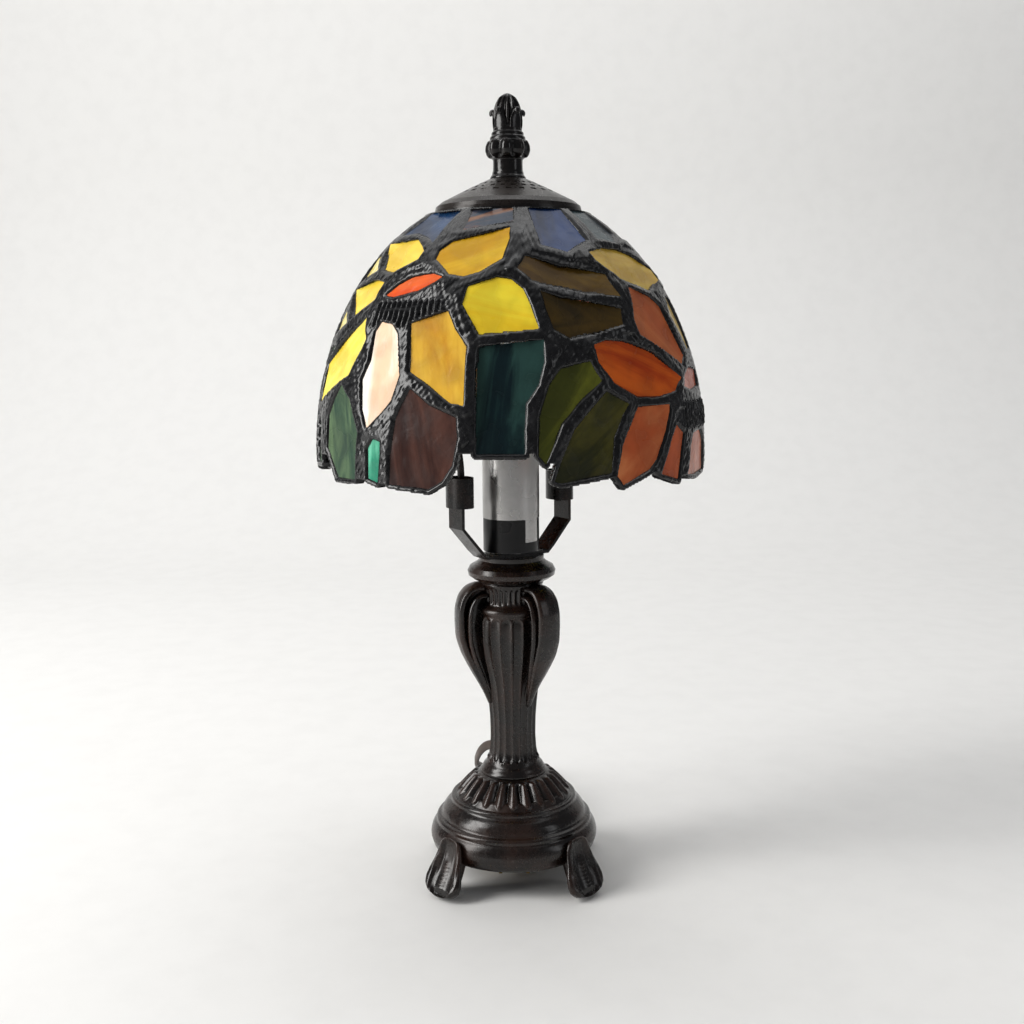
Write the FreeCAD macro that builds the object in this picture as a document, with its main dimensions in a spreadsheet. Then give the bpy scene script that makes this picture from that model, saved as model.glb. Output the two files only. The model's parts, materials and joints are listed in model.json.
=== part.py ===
import FreeCAD, Part

import math
import os

import Sketcher
from FreeCAD import Vector as V

# A small leaded-glass dome lamp on a cast base, in millimetres.
# The origin is on the table under the middle of the lamp, +Z is up and the front faces -Y.

doc = FreeCAD.newDocument("LeadedGlassLamp")

SIZES = {
    # shade: half of an ellipse, turned about Z, that drops straight below its middle height
    "shade_radius": 85.4, "shade_mid": 200.0, "shade_rise": 112.7, "shade_top": 302.8,
    "shade_foot": 184.0, "came_proud": 0.5, "came_deep": 3.9, "glass_thick": 2.8,
    "ring_inner": 30.4, "ring_outer": 32.4, "ring_base": 299.8,
    # vented cap and finial
    "cap_radius": 32.3, "cap_base": 303.6, "cap_crown": 318.2, "cap_sheet": 0.8,
    "vent_width": 2.6, "vent_count": 24, "finial_base": 318.4, "finial_tip": 355.0,
    # castings
    "lip_radius": 37.0, "lip_height": 14.0, "belly_radius": 39.0, "collar_radius": 15.2,
    "collar_height": 48.6, "casting_roof": 44.0, "foot_count": 4, "foot_turn": 45.0,
    "stem_radius": 10.1, "column_top": 139.0,
    "disc_radius": 20.2, "disc_top": 151.0, "strap_count": 3, "strap_turn": 193.0,
    # pipe, socket and bulb
    "pipe_radius": 4.85, "pipe_bore": 3.3, "pipe_clear": 0.25, "pipe_base": 34.0, "pipe_end": 158.0,
    "tube_radius": 12.8, "tube_wall": 1.0, "tube_base": 153.5, "tube_end": 203.0,
    "bulb_base_radius": 5.85, "bulb_radius": 16.0, "bulb_tip": 281.0,
    # harp
    "harp_turn": 32.0, "leg_radius": 26.0, "wire_radius": 1.6, "arm_radius": 29.1,
    "arm_width": 12.0, "arm_sheet": 1.4, "ferrule_base": 175.0, "ferrule_height": 13.4,
    "stud_radius": 3.2, "stud_clear": 0.05, "harp_crown": 313.0,
    # cord
    "cord_width": 4.8, "plug_width": 18.0, "plug_height": 11.6, "plug_length": 23.0,
    "switch_width": 19.0, "switch_height": 12.0, "switch_length": 38.0,
}

sheet = doc.addObject("Spreadsheet::Sheet", "Sizes")
for row, (alias, number) in enumerate(SIZES.items(), start=1):
    sheet.set(f"A{row}", alias.replace("_", " "))
    sheet.set(f"B{row}", str(number))
    sheet.setAlias(f"B{row}", alias)
doc.recompute()

PIECES = []


def size(alias):
    """Return a driving dimension from the sheet."""
    return float(sheet.get(alias))


def at(alias, more=0.0):
    """Return a driving dimension plus an offset, as a number and as an expression."""
    return size(alias) + more, f"Sizes.{alias} + {more}"


def number_of(coordinate):
    """Return the plain number of a coordinate that may carry an expression."""
    return coordinate[0] if isinstance(coordinate, tuple) else float(coordinate)


def keep(piece, label):
    """Name a finished sub-part, which names its file too."""
    piece.Label = label
    PIECES.append(piece)
    return piece


def bind(target, **expressions):
    """Bind properties of an object to the sheet."""
    for name, expression in expressions.items():
        target.setExpression(name.replace("_at_", "."), expression)
    return target


def outline_sketch(body, name, points):
    """Draw a closed outline of (radius, height) points in the body's XZ plane, fully sized."""
    sketch = body.newObject("Sketcher::SketchObject", name)
    plane = next(f for f in body.Origin.OriginFeatures if f.Role == "XZ_Plane")
    sketch.AttachmentSupport = (plane, "")
    sketch.MapMode = "FlatFace"
    corners = [V(number_of(x), number_of(y), 0) for x, y in points]
    last = len(corners)
    for i, corner in enumerate(corners):
        sketch.addGeometry(Part.LineSegment(corner, corners[(i + 1) % last]), False)
    for i in range(last):
        sketch.addConstraint(Sketcher.Constraint("Coincident", i, 2, (i + 1) % last, 1))
    for i, point in enumerate(points):
        for kind, axis, coordinate in (("DistanceX", -2, point[0]), ("DistanceY", -1, point[1])):
            length = number_of(coordinate)
            if length == 0.0:
                sketch.addConstraint(Sketcher.Constraint("PointOnObject", i, 1, axis))
                continue
            k = sketch.addConstraint(Sketcher.Constraint(kind, -1, 1, i, 1, length))
            if isinstance(coordinate, tuple):
                sketch.setExpression(f"Constraints[{k}]", coordinate[1])
    return sketch


def turned(label, points):
    """Turn an outline about Z into a body."""
    body = doc.addObject("PartDesign::Body", label + "_body")
    sketch = outline_sketch(body, label + "_outline", points)
    turn = body.newObject("PartDesign::Revolution", label + "_turn")
    turn.Profile = sketch
    turn.ReferenceAxis = (sketch, ["V_Axis"])
    turn.Angle = 360
    doc.recompute()
    return body


def cylinder(radius, height, base=0.0):
    """Make a Part::Cylinder about Z whose sizes are expressions."""
    piece = doc.addObject("Part::Cylinder", "Rod")
    return bind(piece, Radius=radius, Height=height, Placement_at_Base_at_z=str(base))


def cut(base, tool):
    """Take one object away from another."""
    result = doc.addObject("Part::Cut", "Cut")
    result.Base, result.Tool = base, tool
    return result


def feature(label, shape):
    """Keep a shape that Part's functions made as a sub-part, in the place where it was made."""
    piece = doc.addObject("Part::Feature", label + "_shape")
    piece.Shape = shape
    piece.Placement = shape.Placement
    return keep(piece, label)


def polar(radius, degrees, height):
    """Return the point at an angle from +X about Z."""
    angle = math.radians(degrees)
    return V(radius * math.cos(angle), radius * math.sin(angle), height)


def slab(points, thickness, degrees):
    """Stand a closed (radius, height) outline in the plane at an angle, thick to both sides."""
    wire = Part.makePolygon([V(x, -thickness / 2, y) for x, y in points + points[:1]])
    shape = Part.Face(wire).extrude(V(0, thickness, 0))
    shape.rotate(V(), V(0, 0, 1), degrees)
    return shape


# ---------------------------------------------------------------- base castings

DOME_RIM = [
    (at("collar_radius"), at("collar_height")), (18.4, 46.9), (22.2, 43.0), (25.4, 39.4),
    (27.2, 37.2), (28.8, 37.4), (29.3, 36.6), (28.9, 35.8), (30.6, 33.4), (33.2, 29.9),
    (34.2, 28.9), (35.6, 28.2), (36.2, 27.2), (36.9, 25.6), (38.2, 22.5),
    (at("belly_radius", -0.1), 19.5), (at("belly_radius"), 17.5), (38.3, 15.4),
    (at("lip_radius"), at("lip_height")),
]
DOME_HOLLOW = [
    (at("lip_radius", -2.6), at("lip_height")), (35.6, 19.0), (33.4, 25.0), (28.6, 32.0),
    (22.0, 38.4), (15.0, at("casting_roof")),
]
FOOT_WEB = [(34.9, 15.0), (37.0, 21.0), (41.4, 22.5), (48.4, 3.0), (48.0, 0.0), (40.0, 0.0),
            (38.5, 6.0), (35.4, 12.0)]
# half widths of a foot's leaf and how far down its slope each lies
LEAF_ROWS = [(2.4, 0.0), (6.0, 2.0), (8.2, 8.0), (10.2, 15.0), (10.4, 19.6), (8.4, 23.6), (3.4, 26.2)]
LEAF_TOP = V(39.8, 0, 25.6)
LEAF_SLOPE = 20.0
LEAF_THICK = 3.4


def foot_leaf(degrees):
    """Make the spoon-shaped leaf of a foot: a closed curve, thickened and tilted outwards."""
    right = [V(0, half, -down) for half, down in LEAF_ROWS]
    left = [V(0, -half, -down) for half, down in reversed(LEAF_ROWS)]
    curve = Part.BSplineCurve()
    curve.interpolate(Points=right + left, PeriodicFlag=True)
    leaf = Part.Face(Part.Wire(curve.toShape())).extrude(V(LEAF_THICK, 0, 0))
    leaf.rotate(V(), V(0, 1, 0), -LEAF_SLOPE)
    leaf.translate(LEAF_TOP)
    leaf.rotate(V(), V(0, 0, 1), degrees)
    return leaf


def foot_casting():
    """Cast the hollow dome and its four feet in one piece, with the cord's hole at the back."""
    hole = at("pipe_radius", size("pipe_clear"))
    core = turned("dome", DOME_RIM + DOME_HOLLOW
                  + [(hole, at("casting_roof")), (hole, at("collar_height"))])
    feet = []
    for i in range(int(size("foot_count"))):
        degrees = size("foot_turn") + i * 360.0 / size("foot_count")
        feet += [slab(FOOT_WEB, 6.4, degrees), foot_leaf(degrees)]
    under = Part.makeBox(140, 140, 20, V(-70, -70, -20))
    shape = core.Shape.multiFuse(feet).cut(under).removeSplitter()
    shape = shape.cut(Part.makeCylinder(CORD_HOLE, 22, LEAD_ROUTE[0] - exit_axis() * 22, exit_axis()))
    doc.removeObject(core.Name)
    assert len(shape.Solids) == 1
    return feature("foot_casting", shape)


COLUMN_RIM = [
    (at("collar_radius"), at("collar_height")), (at("collar_radius", 0.1), 50.0), (13.8, 51.8),
    (12.0, 54.8), (10.4, 58.5), (at("stem_radius"), 66.0), (10.3, 75.0), (10.9, 82.0), (12.0, 91.5),
    (13.6, 98.8), (15.2, 105.0), (16.2, 112.0), (16.4, 119.0), (15.6, 124.6), (16.4, 125.4),
    (16.4, 127.4), (15.2, 128.4), (13.0, 129.0), (13.0, 135.5), (14.8, 138.0),
    (14.8, at("column_top")),
]
STRAP_BAND = [(11.4, 84.0), (14.0, 91.0), (17.6, 98.0), (21.4, 104.6), (24.4, 112.0), (25.6, 120.0),
              (25.6, 127.0), (24.4, 132.4), (21.4, 136.4), (17.6, 138.2), (14.4, 138.6),
              (14.4, 136.0), (17.0, 135.6), (20.0, 133.8), (22.0, 130.6), (22.8, 126.4),
              (22.8, 120.0), (21.8, 113.4), (19.0, 106.6), (15.4, 100.0), (12.0, 93.6), (10.0, 87.0)]
STRAP_WEB = [(9.0, 84.0), (12.4, 91.0), (20.4, 106.0), (22.9, 114.0), (23.0, 128.0), (20.0, 134.0),
             (12.0, 136.0), (12.0, 110.0)]


def column_casting():
    """Cast the vase-shaped column, bored for the pipe, with three scroll straps."""
    inner = at("pipe_radius", size("pipe_clear"))
    core = turned("column", COLUMN_RIM + [(inner, at("column_top")), (inner, at("collar_height"))])
    straps = []
    for i in range(int(size("strap_count"))):
        degrees = size("strap_turn") + i * 360.0 / size("strap_count")
        straps += [slab(STRAP_BAND, 11.6, degrees), slab(STRAP_WEB, 4.0, degrees)]
    shape = core.Shape.multiFuse(straps).removeSplitter()
    doc.removeObject(core.Name)
    bore = Part.makeCylinder(size("pipe_radius") + size("pipe_clear"), 120, V(0, 0, 40))
    return feature("column_casting", shape.cut(bore))


def neck_disc():
    """Turn the ogee disc that caps the column."""
    inner = at("pipe_radius", size("pipe_clear"))
    return keep(turned("disc", [
        (14.4, at("column_top")), (17.6, 140.6), (at("disc_radius", -0.4), 142.2),
        (at("disc_radius"), 144.2), (at("disc_radius", -1.0), 146.2), (16.4, 147.8), (14.8, 149.2),
        (14.9, at("disc_top")), (inner, at("disc_top")), (inner, at("column_top")),
    ]), "neck_disc")


# ---------------------------------------------------------------- pipe and its hardware

def threaded_pipe():
    """Bore the pipe that clamps the base, the column and the disc together."""
    rod = cylinder("Sizes.pipe_radius", "Sizes.pipe_end - Sizes.pipe_base", "Sizes.pipe_base")
    bore = cylinder("Sizes.pipe_bore", "Sizes.pipe_end - Sizes.pipe_base", "Sizes.pipe_base")
    return keep(cut(rod, bore), "threaded_pipe")


def hex_nut(base, height, across):
    """Make a hexagon nut that fits the pipe."""
    nut = doc.addObject("Part::Prism", "Nut")
    nut.Polygon = 6
    bind(nut, Circumradius=str(across / math.sqrt(3)), Height=str(height),
         Placement_at_Base_at_z=str(base))
    return cut(nut, cylinder("Sizes.pipe_radius", str(height), base))


def washer(base, height, radius):
    """Make a washer that fits the pipe."""
    return cut(cylinder(str(radius), str(height), base),
               cylinder("Sizes.pipe_radius", str(height), base))


def pipe_hardware():
    """Place the washers and nuts that draw the stack tight."""
    keep(washer("Sizes.casting_roof - 1.4", 1.4, 12.5), "steel_washer")
    keep(washer("Sizes.casting_roof - 2.6", 1.2, 8.2), "lock_washer")
    keep(hex_nut("Sizes.casting_roof - 6.6", 4.0, 15.0), "bottom_nut")
    keep(hex_nut("Sizes.disc_top + Sizes.arm_sheet", 2.6, 14.0), "saddle_nut")


# ---------------------------------------------------------------- harp

# the underside of the saddle from its middle out, as (distance below the arm's, rise)
ARM_BEND = [(29.1, 0.0), (12.6, 0.0), (9.4, 3.2), (0.0, 14.4), (0.0, 31.5)]


def harp_saddle():
    """Bend the steel strip under the socket, whose arms hold the harp's legs."""
    sheet_thick = size("arm_sheet")
    line = [(size("arm_radius") - short, size("disc_top") + rise) for short, rise in ARM_BEND]
    inner = [(-x, y) for x, y in reversed(line[1:])] + line
    outline = []
    for i, (x, y) in enumerate(inner):
        before = V(*inner[max(i - 1, 0)], 0)
        after = V(*inner[min(i + 1, len(inner) - 1)], 0)
        along = (after - before).normalize()
        outline.append((x - along.y * sheet_thick, y + along.x * sheet_thick))
    points = [V(x, -size("arm_width") / 2, y) for x, y in inner + outline[::-1]]
    shape = Part.Face(Part.makePolygon(points + points[:1])).extrude(V(0, size("arm_width"), 0))
    hole = Part.makeCylinder(size("pipe_radius"), 10, V(0, 0, size("disc_top") - 4))
    shape = shape.cut(hole)
    shape.rotate(V(), V(0, 0, 1), size("harp_turn"))
    return feature("harp_saddle", shape)


HARP_SIDE = [(0.0, 0.0), (0.0, 23.6), (6.0, 43.6), (8.6, 65.6), (5.0, 91.6), (-5.0, 115.6),
             (-17.0, 132.6)]


def arc_path(points):
    """Join straight runs with tangent arcs and return the wire and the arcs' radii."""
    edges, radii, start = [], [], points[0]
    for before, corner, after in zip(points, points[1:], points[2:]):
        back, ahead = before - corner, after - corner
        turn = math.pi - back.getAngle(ahead)
        trim = 0.45 * min(back.Length, ahead.Length)
        radii.append(trim / math.tan(turn / 2))
        first = corner + V(back).normalize() * trim
        second = corner + V(ahead).normalize() * trim
        bisector = (V(back).normalize() + V(ahead).normalize()).normalize()
        reach = radii[-1] / math.cos(turn / 2) - radii[-1]
        edges += [Part.LineSegment(start, first).toShape(),
                  Part.Arc(first, corner + bisector * reach, second).toShape()]
        start = second
    edges.append(Part.LineSegment(start, points[-1]).toShape())
    return Part.Wire(edges), radii


def tube(points, radius):
    """Carry a circle along a route and check its volume against section times length."""
    wire, radii = arc_path(points)
    circle = Part.Wire(Part.Circle(points[0], points[1] - points[0], radius).toShape())
    shape = Part.Solid(wire.makePipeShell([circle], True, False))
    expected = math.pi * radius ** 2 * wire.Length
    assert abs(shape.Volume / expected - 1) < 0.02, (shape.Volume, expected)
    return shape, wire.Length, radii


def harp_loop(stud):
    """Bend the wire bow that carries the shade over the bulb, and let the stud's foot into it."""
    leg, base = size("leg_radius"), size("ferrule_base") - 1.0
    side = [V(leg + dx, 0, base + dz) for dx, dz in HARP_SIDE]
    crown = [V(0.3 * leg, 0, size("harp_crown")), V(-0.3 * leg, 0, size("harp_crown"))]
    other = [V(-p.x, 0, p.z) for p in reversed(side)]
    shape, _, _ = tube(side + crown + other, size("wire_radius"))
    shape.rotate(V(), V(0, 0, 1), size("harp_turn"))
    return feature("harp_loop", shape.cut(stud.Shape))


def harp_stud():
    """Turn the stud on the crown of the harp, on which the shade hangs."""
    crown, stud = size("harp_crown"), size("stud_radius")
    base = crown + size("wire_radius") - 0.8
    body = turned("stud", [
        (0.0, base), (4.6, base), (6.0, base + 1.0), (6.0, at("cap_crown", -1.0)),
        (at("stud_radius"), at("cap_crown", -1.0)), (at("stud_radius"), at("finial_base", 10.6)),
        (stud - 0.6, at("finial_base", 11.4)), (0.0, at("finial_base", 11.4)),
    ])
    return keep(body, "harp_stud")


def ferrule(label, side):
    """Make one oval sleeve that slides down over a harp leg and a saddle arm."""
    height = size("ferrule_height")
    outer = Part.Ellipse(V(), 7.8, 5.7).toShape()
    inner = Part.Ellipse(V(), 7.0, 4.9).toShape()
    shell = Part.Face(Part.Wire(outer)).cut(Part.Face(Part.Wire(inner)))
    shape = shell.extrude(V(0, 0, height))
    shape.rotate(V(), V(0, 0, 1), 90)
    centre = (size("leg_radius") - size("wire_radius") + size("arm_radius")) / 2
    shape.translate(V(side * centre, 0, size("ferrule_base")))
    shape.rotate(V(), V(0, 0, 1), size("harp_turn"))
    return feature(label, shape)


# ---------------------------------------------------------------- socket

def socket():
    """Build the candle socket: mounting plate, body, screw shell, contact, tube and label."""
    plate = at("disc_top", 4.1)
    keep(turned("plate", [
        (at("pipe_radius"), plate), (11.0, plate), (11.0, at("disc_top", 5.9)), (9.4, 158.6),
        (9.4, 163.0), (7.8, 163.0), (7.8, 158.6), (at("pipe_radius"), 157.4),
    ]), "socket_mount")
    keep(turned("porcelain", [
        (0.0, 163.0), (9.6, 163.0), (9.6, 200.0), (8.4, 202.0), (7.0, 202.0), (7.0, 178.0),
        (2.0, 178.0), (2.0, 176.0), (0.0, 176.0),
    ]), "socket_body")
    keep(turned("thread", [
        (at("bulb_base_radius", 0.05), 180.0), (7.0, 180.0), (7.0, 201.0),
        (at("bulb_base_radius", 0.05), 201.0),
    ]), "screw_shell")
    keep(turned("contact", [
        (0.0, 176.0), (2.0, 176.0), (2.0, 178.4), (3.2, 178.4), (1.8, 180.4), (0.0, 180.4),
    ]), "centre_contact")
    tube_body = turned("candle", [
        (at("tube_radius", -size("tube_wall")), at("tube_base")), (at("tube_radius"), at("tube_base")),
        (at("tube_radius"), at("tube_end")), (9.7, at("tube_end")), (9.7, at("tube_end", -1.0)),
        (at("tube_radius", -size("tube_wall")), at("tube_end", -1.0)),
    ])
    keep(tube_body, "socket_tube")
    label_base = 168.6
    band = Part.makeCylinder(size("tube_radius") + 0.15, 30.0, V(0, 0, label_base))
    strip = Part.makeCylinder(size("tube_radius") + 0.15, 12.0, V(0, 0, label_base - 10.4), V(0, 0, 1), 34)
    strip.rotate(V(), V(0, 0, 1), -60)
    core = Part.makeCylinder(size("tube_radius"), 60.0, V(0, 0, label_base - 20))
    feature("socket_label", band.fuse(strip).removeSplitter().cut(core))
    screws = []
    for side in (-1, 1):
        head = Part.makeCylinder(1.9, 1.6, V(side * 9.6, 0, 172), V(side, 0, 0))
        slot = Part.makeBox(1.0, 4.4, 0.6, V(side * 10.9 - 0.5, -2.2, 171.7))
        screws.append(head.cut(slot))
    feature("terminal_screws", Part.makeCompound(screws))


def bulb():
    """Build the candle bulb: threaded base, envelope and the stem that holds its filament."""
    keep(turned("screw", [
        (0.0, 180.6), (2.0, 180.6), (3.4, 182.2), (at("bulb_base_radius", -0.6), 184.0),
        (at("bulb_base_radius"), 185.0), (at("bulb_base_radius"), 203.4), (6.6, 203.8),
        (6.6, 205.0), (5.4, 205.0), (5.4, 186.0), (0.0, 184.4),
    ]), "bulb_base")
    keep(turned("envelope", [
        (5.4, 205.0), (7.2, 207.4), (10.6, 213.0), (at("bulb_radius", -1.4), 222.0),
        (at("bulb_radius"), 232.0), (at("bulb_radius", -1.2), 243.0), (11.4, 255.0), (6.6, 267.0),
        (3.0, 277.0), (0.0, at("bulb_tip")), (0.0, at("bulb_tip", -1.0)), (2.2, 276.4),
        (5.8, 266.6), (10.6, 254.6), (at("bulb_radius", -2.0), 242.8),
        (at("bulb_radius", -0.8), 232.0), (at("bulb_radius", -2.2), 222.4), (9.8, 213.4),
        (6.4, 207.8), (4.6, 205.4), (4.6, 203.6), (5.4, 203.6),
    ]), "bulb_glass")
    stem = turned("stem", [
        (0.0, 187.0), (4.2, 187.0), (4.2, 204.0), (2.4, 214.0), (1.6, 224.0), (0.0, 224.6)])
    loop = [V(-8.0, 0, 238.0), V(-7.0, 0, 245.0), V(-3.0, 0, 251.0), V(3.0, 0, 251.0),
            V(7.0, 0, 245.0), V(8.0, 0, 238.0)]
    filament, _, _ = tube([V(-1.0, 0, 221.0), V(-4.0, 0, 229.0)] + loop
                          + [V(4.0, 0, 229.0), V(1.0, 0, 221.0)], 0.5)
    shape = stem.Shape.fuse(filament)
    doc.removeObject(stem.Name)
    return feature("bulb_filament", shape)


# ---------------------------------------------------------------- shade

def dome_radius(height, inset=0.0):
    """Return the shade's radius at a height: an ellipse above its middle, a cylinder below."""
    up = max(height - size("shade_mid"), 0.0) / (size("shade_rise") - inset)
    return (size("shade_radius") - inset) * math.sqrt(max(1.0 - up * up, 0.0))


def dome_point(degrees, height, radius=None):
    """Return a point of the shade. The angle is from the front towards +X."""
    return polar(dome_radius(height) if radius is None else radius, degrees - 90.0, height)


# Each pane is its outline on the dome as (angle from the front, height) corners.
# The set covers half of the shade and is repeated behind it.
PANES = {
    "glass_blue_crown": [
        [(-64, 302), (-31, 302), (-34, 287), (-40, 290), (-53, 293), (-62, 292)],
        [(12, 302), (37, 302), (37, 288), (24, 282.5), (13, 285.5)],
        [(69, 302), (90, 302), (90, 291), (69, 291)],
        [(95, 302), (111, 302), (112, 294), (95, 292)],
    ],
    "glass_grey_crown": [
        [(-25, 302), (4, 302), (3, 295.5), (-12, 294), (-22, 292)],
        [(43, 302), (63, 302), (63, 292), (57, 288), (43, 289)],
    ],
    "glass_yellow_petals": [
        [(-29, 280), (-29, 284), (-25, 288), (-12, 291), (1, 292.5), (1, 288), (-2, 280), (-10, 275),
         (-16, 273), (-22, 274)],
        [(-70, 288.5), (-56, 290), (-46, 290), (-40, 287), (-36, 284), (-37, 280.5), (-49, 276),
         (-57, 277.5)],
        [(-77, 270), (-57, 274), (-50, 272), (-51, 265), (-63, 258)],
        [(-51, 258), (-48, 249), (-54, 235), (-74, 223), (-75, 239), (-64, 250), (-54, 256)],
    ],
    "glass_gold_petals": [
        [(-31, 255), (-19, 260), (-16, 253), (-12, 246), (-12, 223), (-16, 224), (-24, 232),
         (-29, 236)],
        [(-15, 262), (-14, 269), (-4, 273), (1, 272), (5, 268), (7, 262), (9, 252), (-9, 250)],
        [(32, 282), (40, 285), (54, 286.5), (66, 284), (76, 277), (76, 272.5), (61, 268.5),
         (44, 273), (34, 279)],
    ],
    "glass_cream_petals": [
        [(-84, 284), (-73, 286), (-61, 277.5), (-80, 271.5)],
        [(-83, 266), (-79, 267.5), (-66, 256), (-79, 250), (-84, 257)],
        [(-43, 256), (-38, 255), (-35, 251), (-32, 235), (-34, 225), (-37, 220), (-42, 213.5),
         (-45, 221), (-47, 233), (-45, 241), (-45, 252)],
        [(72, 267), (79, 266), (84, 252), (82, 244), (73, 241.5), (66, 258)],
        [(86, 241), (91, 247), (96, 247), (96, 232), (91, 233)],
    ],
    "glass_flower_eyes": [
        [(-46, 266), (-42, 271), (-37, 274), (-28, 275), (-23, 273), (-26, 271), (-32, 268),
         (-42, 265.5)],
        [(69, 237), (79, 235), (77, 228), (68, 226.5), (60, 228.5), (62, 233)],
    ],
    "glass_flame_petal": [
        [(24, 246), (29, 248), (36, 248), (48, 243), (58, 232), (54, 226.5), (47, 225), (38, 225.5),
         (30, 231), (25, 239)],
    ],
    "glass_orange_petals": [
        [(45, 269), (57, 266), (62, 262), (66, 241), (63, 237), (43, 250), (42, 256)],
        [(37, 222), (50, 222), (50, 219), (48, 211), (44, 200), (41, 196), (31, 191), (29, 195),
         (31, 207)],
        [(53, 214), (57, 210), (56, 204), (54, 190.5), (45, 194), (50, 208)],
    ],
    "glass_salmon_petals": [
        [(64, 209), (73, 210), (76, 205), (76, 192), (66, 191), (59, 192), (61, 204)],
        [(82, 225), (88, 230), (96, 225), (96, 212), (88, 208.5), (82, 214)],
    ],
    "glass_brown_leaves": [
        [(6, 281), (19, 278), (37, 274), (39, 264.5), (26, 267), (8, 271), (2.5, 275.5)],
        [(10, 267), (17, 265), (38, 260), (37, 253.5), (18, 248.5), (13, 252), (11, 260)],
    ],
    "glass_olive_leaves": [
        [(23, 240), (26, 232), (19, 224), (14, 216), (9, 200.5), (7, 204), (7.5, 219), (10.5, 231),
         (14, 237.5)],
        [(27, 228.5), (34, 223), (32, 219), (29, 210), (28, 196), (23, 195), (13, 193), (11, 194),
         (13, 202), (17, 214), (23, 223)],
        [(81, 286), (92, 288), (92, 273), (85, 270), (80, 278)],
    ],
    "glass_sage_border": [
        [(-69, 247), (-80, 246), (-83, 234), (-80, 225), (-78, 239)],
        [(-82, 226), (-77, 221), (-70, 213), (-69, 197), (-80, 196)],
        [(-57, 231), (-51, 225), (-46, 212), (-47, 192.5), (-57, 192), (-64, 204), (-64, 218),
         (-61, 225)],
    ],
    "glass_emerald": [
        [(-40, 210), (-37, 209), (-37, 204), (-38, 192), (-42, 193.5), (-42, 206)],
        [(80, 206), (87, 204), (94, 206), (94, 194), (88, 192.5), (80, 193)],
    ],
    "glass_maroon": [
        [(-28, 230), (-22, 224), (-14, 219), (-13.5, 211), (-15, 200.5), (-18, 194), (-22, 190.5),
         (-34, 192), (-34, 204), (-32.5, 218), (-31, 223)],
    ],
    "glass_forest": [
        [(-9, 246), (10, 248), (10, 240), (8, 231), (4.5, 224), (4, 214), (4, 204.5), (-9, 204.5)],
    ],
}
# the scalloped lower edge of the lead, as (angle from the front, height) over half a turn
HEM = [(-84, 193.5), (-77, 193), (-70, 194), (-64, 196), (-57, 189.5), (-48, 190), (-43, 191),
       (-38, 189), (-34, 190), (-28, 189), (-22, 187.5), (-18, 191), (-14.5, 197.5), (-11, 202),
       (4, 202), (8, 193), (13, 190.5), (23, 192.5), (30, 188.5), (36, 192), (41, 193.5), (50, 187.5),
       (54, 188), (66, 189), (78, 190), (86, 190), (92, 191)]


def pane_prism(outline, out, into):
    """Extrude a pane's outline, laid flat on the dome, from out to into along its normal."""
    corners = [dome_point(a, z) for a, z in outline]
    centre = sum(corners, V()) * (1.0 / len(corners))
    normal = V()
    for p, q in zip(corners, corners[1:] + corners[:1]):
        normal += (p - centre).cross(q - centre)
    normal.normalize()
    if normal.dot(V(centre.x, centre.y, 0)) < 0:
        normal = -normal
    flat = [p - normal * (p - centre).dot(normal) + normal * out for p in corners]
    face = Part.Face(Part.makePolygon(flat + flat[:1]))
    return face.extrude(normal * (into - out))


def hem_cutter():
    """Make the ring that is taken off below the scalloped lower edge."""
    hem = HEM + [(a + 180, z) for a, z in HEM]
    near, far, floor = 60.0, 100.0, 170.0
    faces = []
    for (a, y), (b, z) in zip(hem, hem[1:] + [(HEM[0][0] + 360, HEM[0][1])]):
        n1, f1 = dome_point(a, y, near), dome_point(a, y, far)
        n2, f2 = dome_point(b, z, near), dome_point(b, z, far)
        m1, g1 = V(n1.x, n1.y, floor), V(f1.x, f1.y, floor)
        m2, g2 = V(n2.x, n2.y, floor), V(f2.x, f2.y, floor)
        for loop in ([n1, f1, f2], [n1, f2, n2], [m1, g1, g2, m2], [n1, n2, m2, m1], [f1, f2, g2, g1]):
            faces.append(Part.Face(Part.makePolygon(loop + loop[:1])))
    return Part.Solid(Part.Shell(faces))


def half_turn(shape):
    """Return a copy of a shape turned half way round the lamp."""
    twin = shape.copy()
    twin.rotate(V(), V(0, 0, 1), 180)
    return twin


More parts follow.
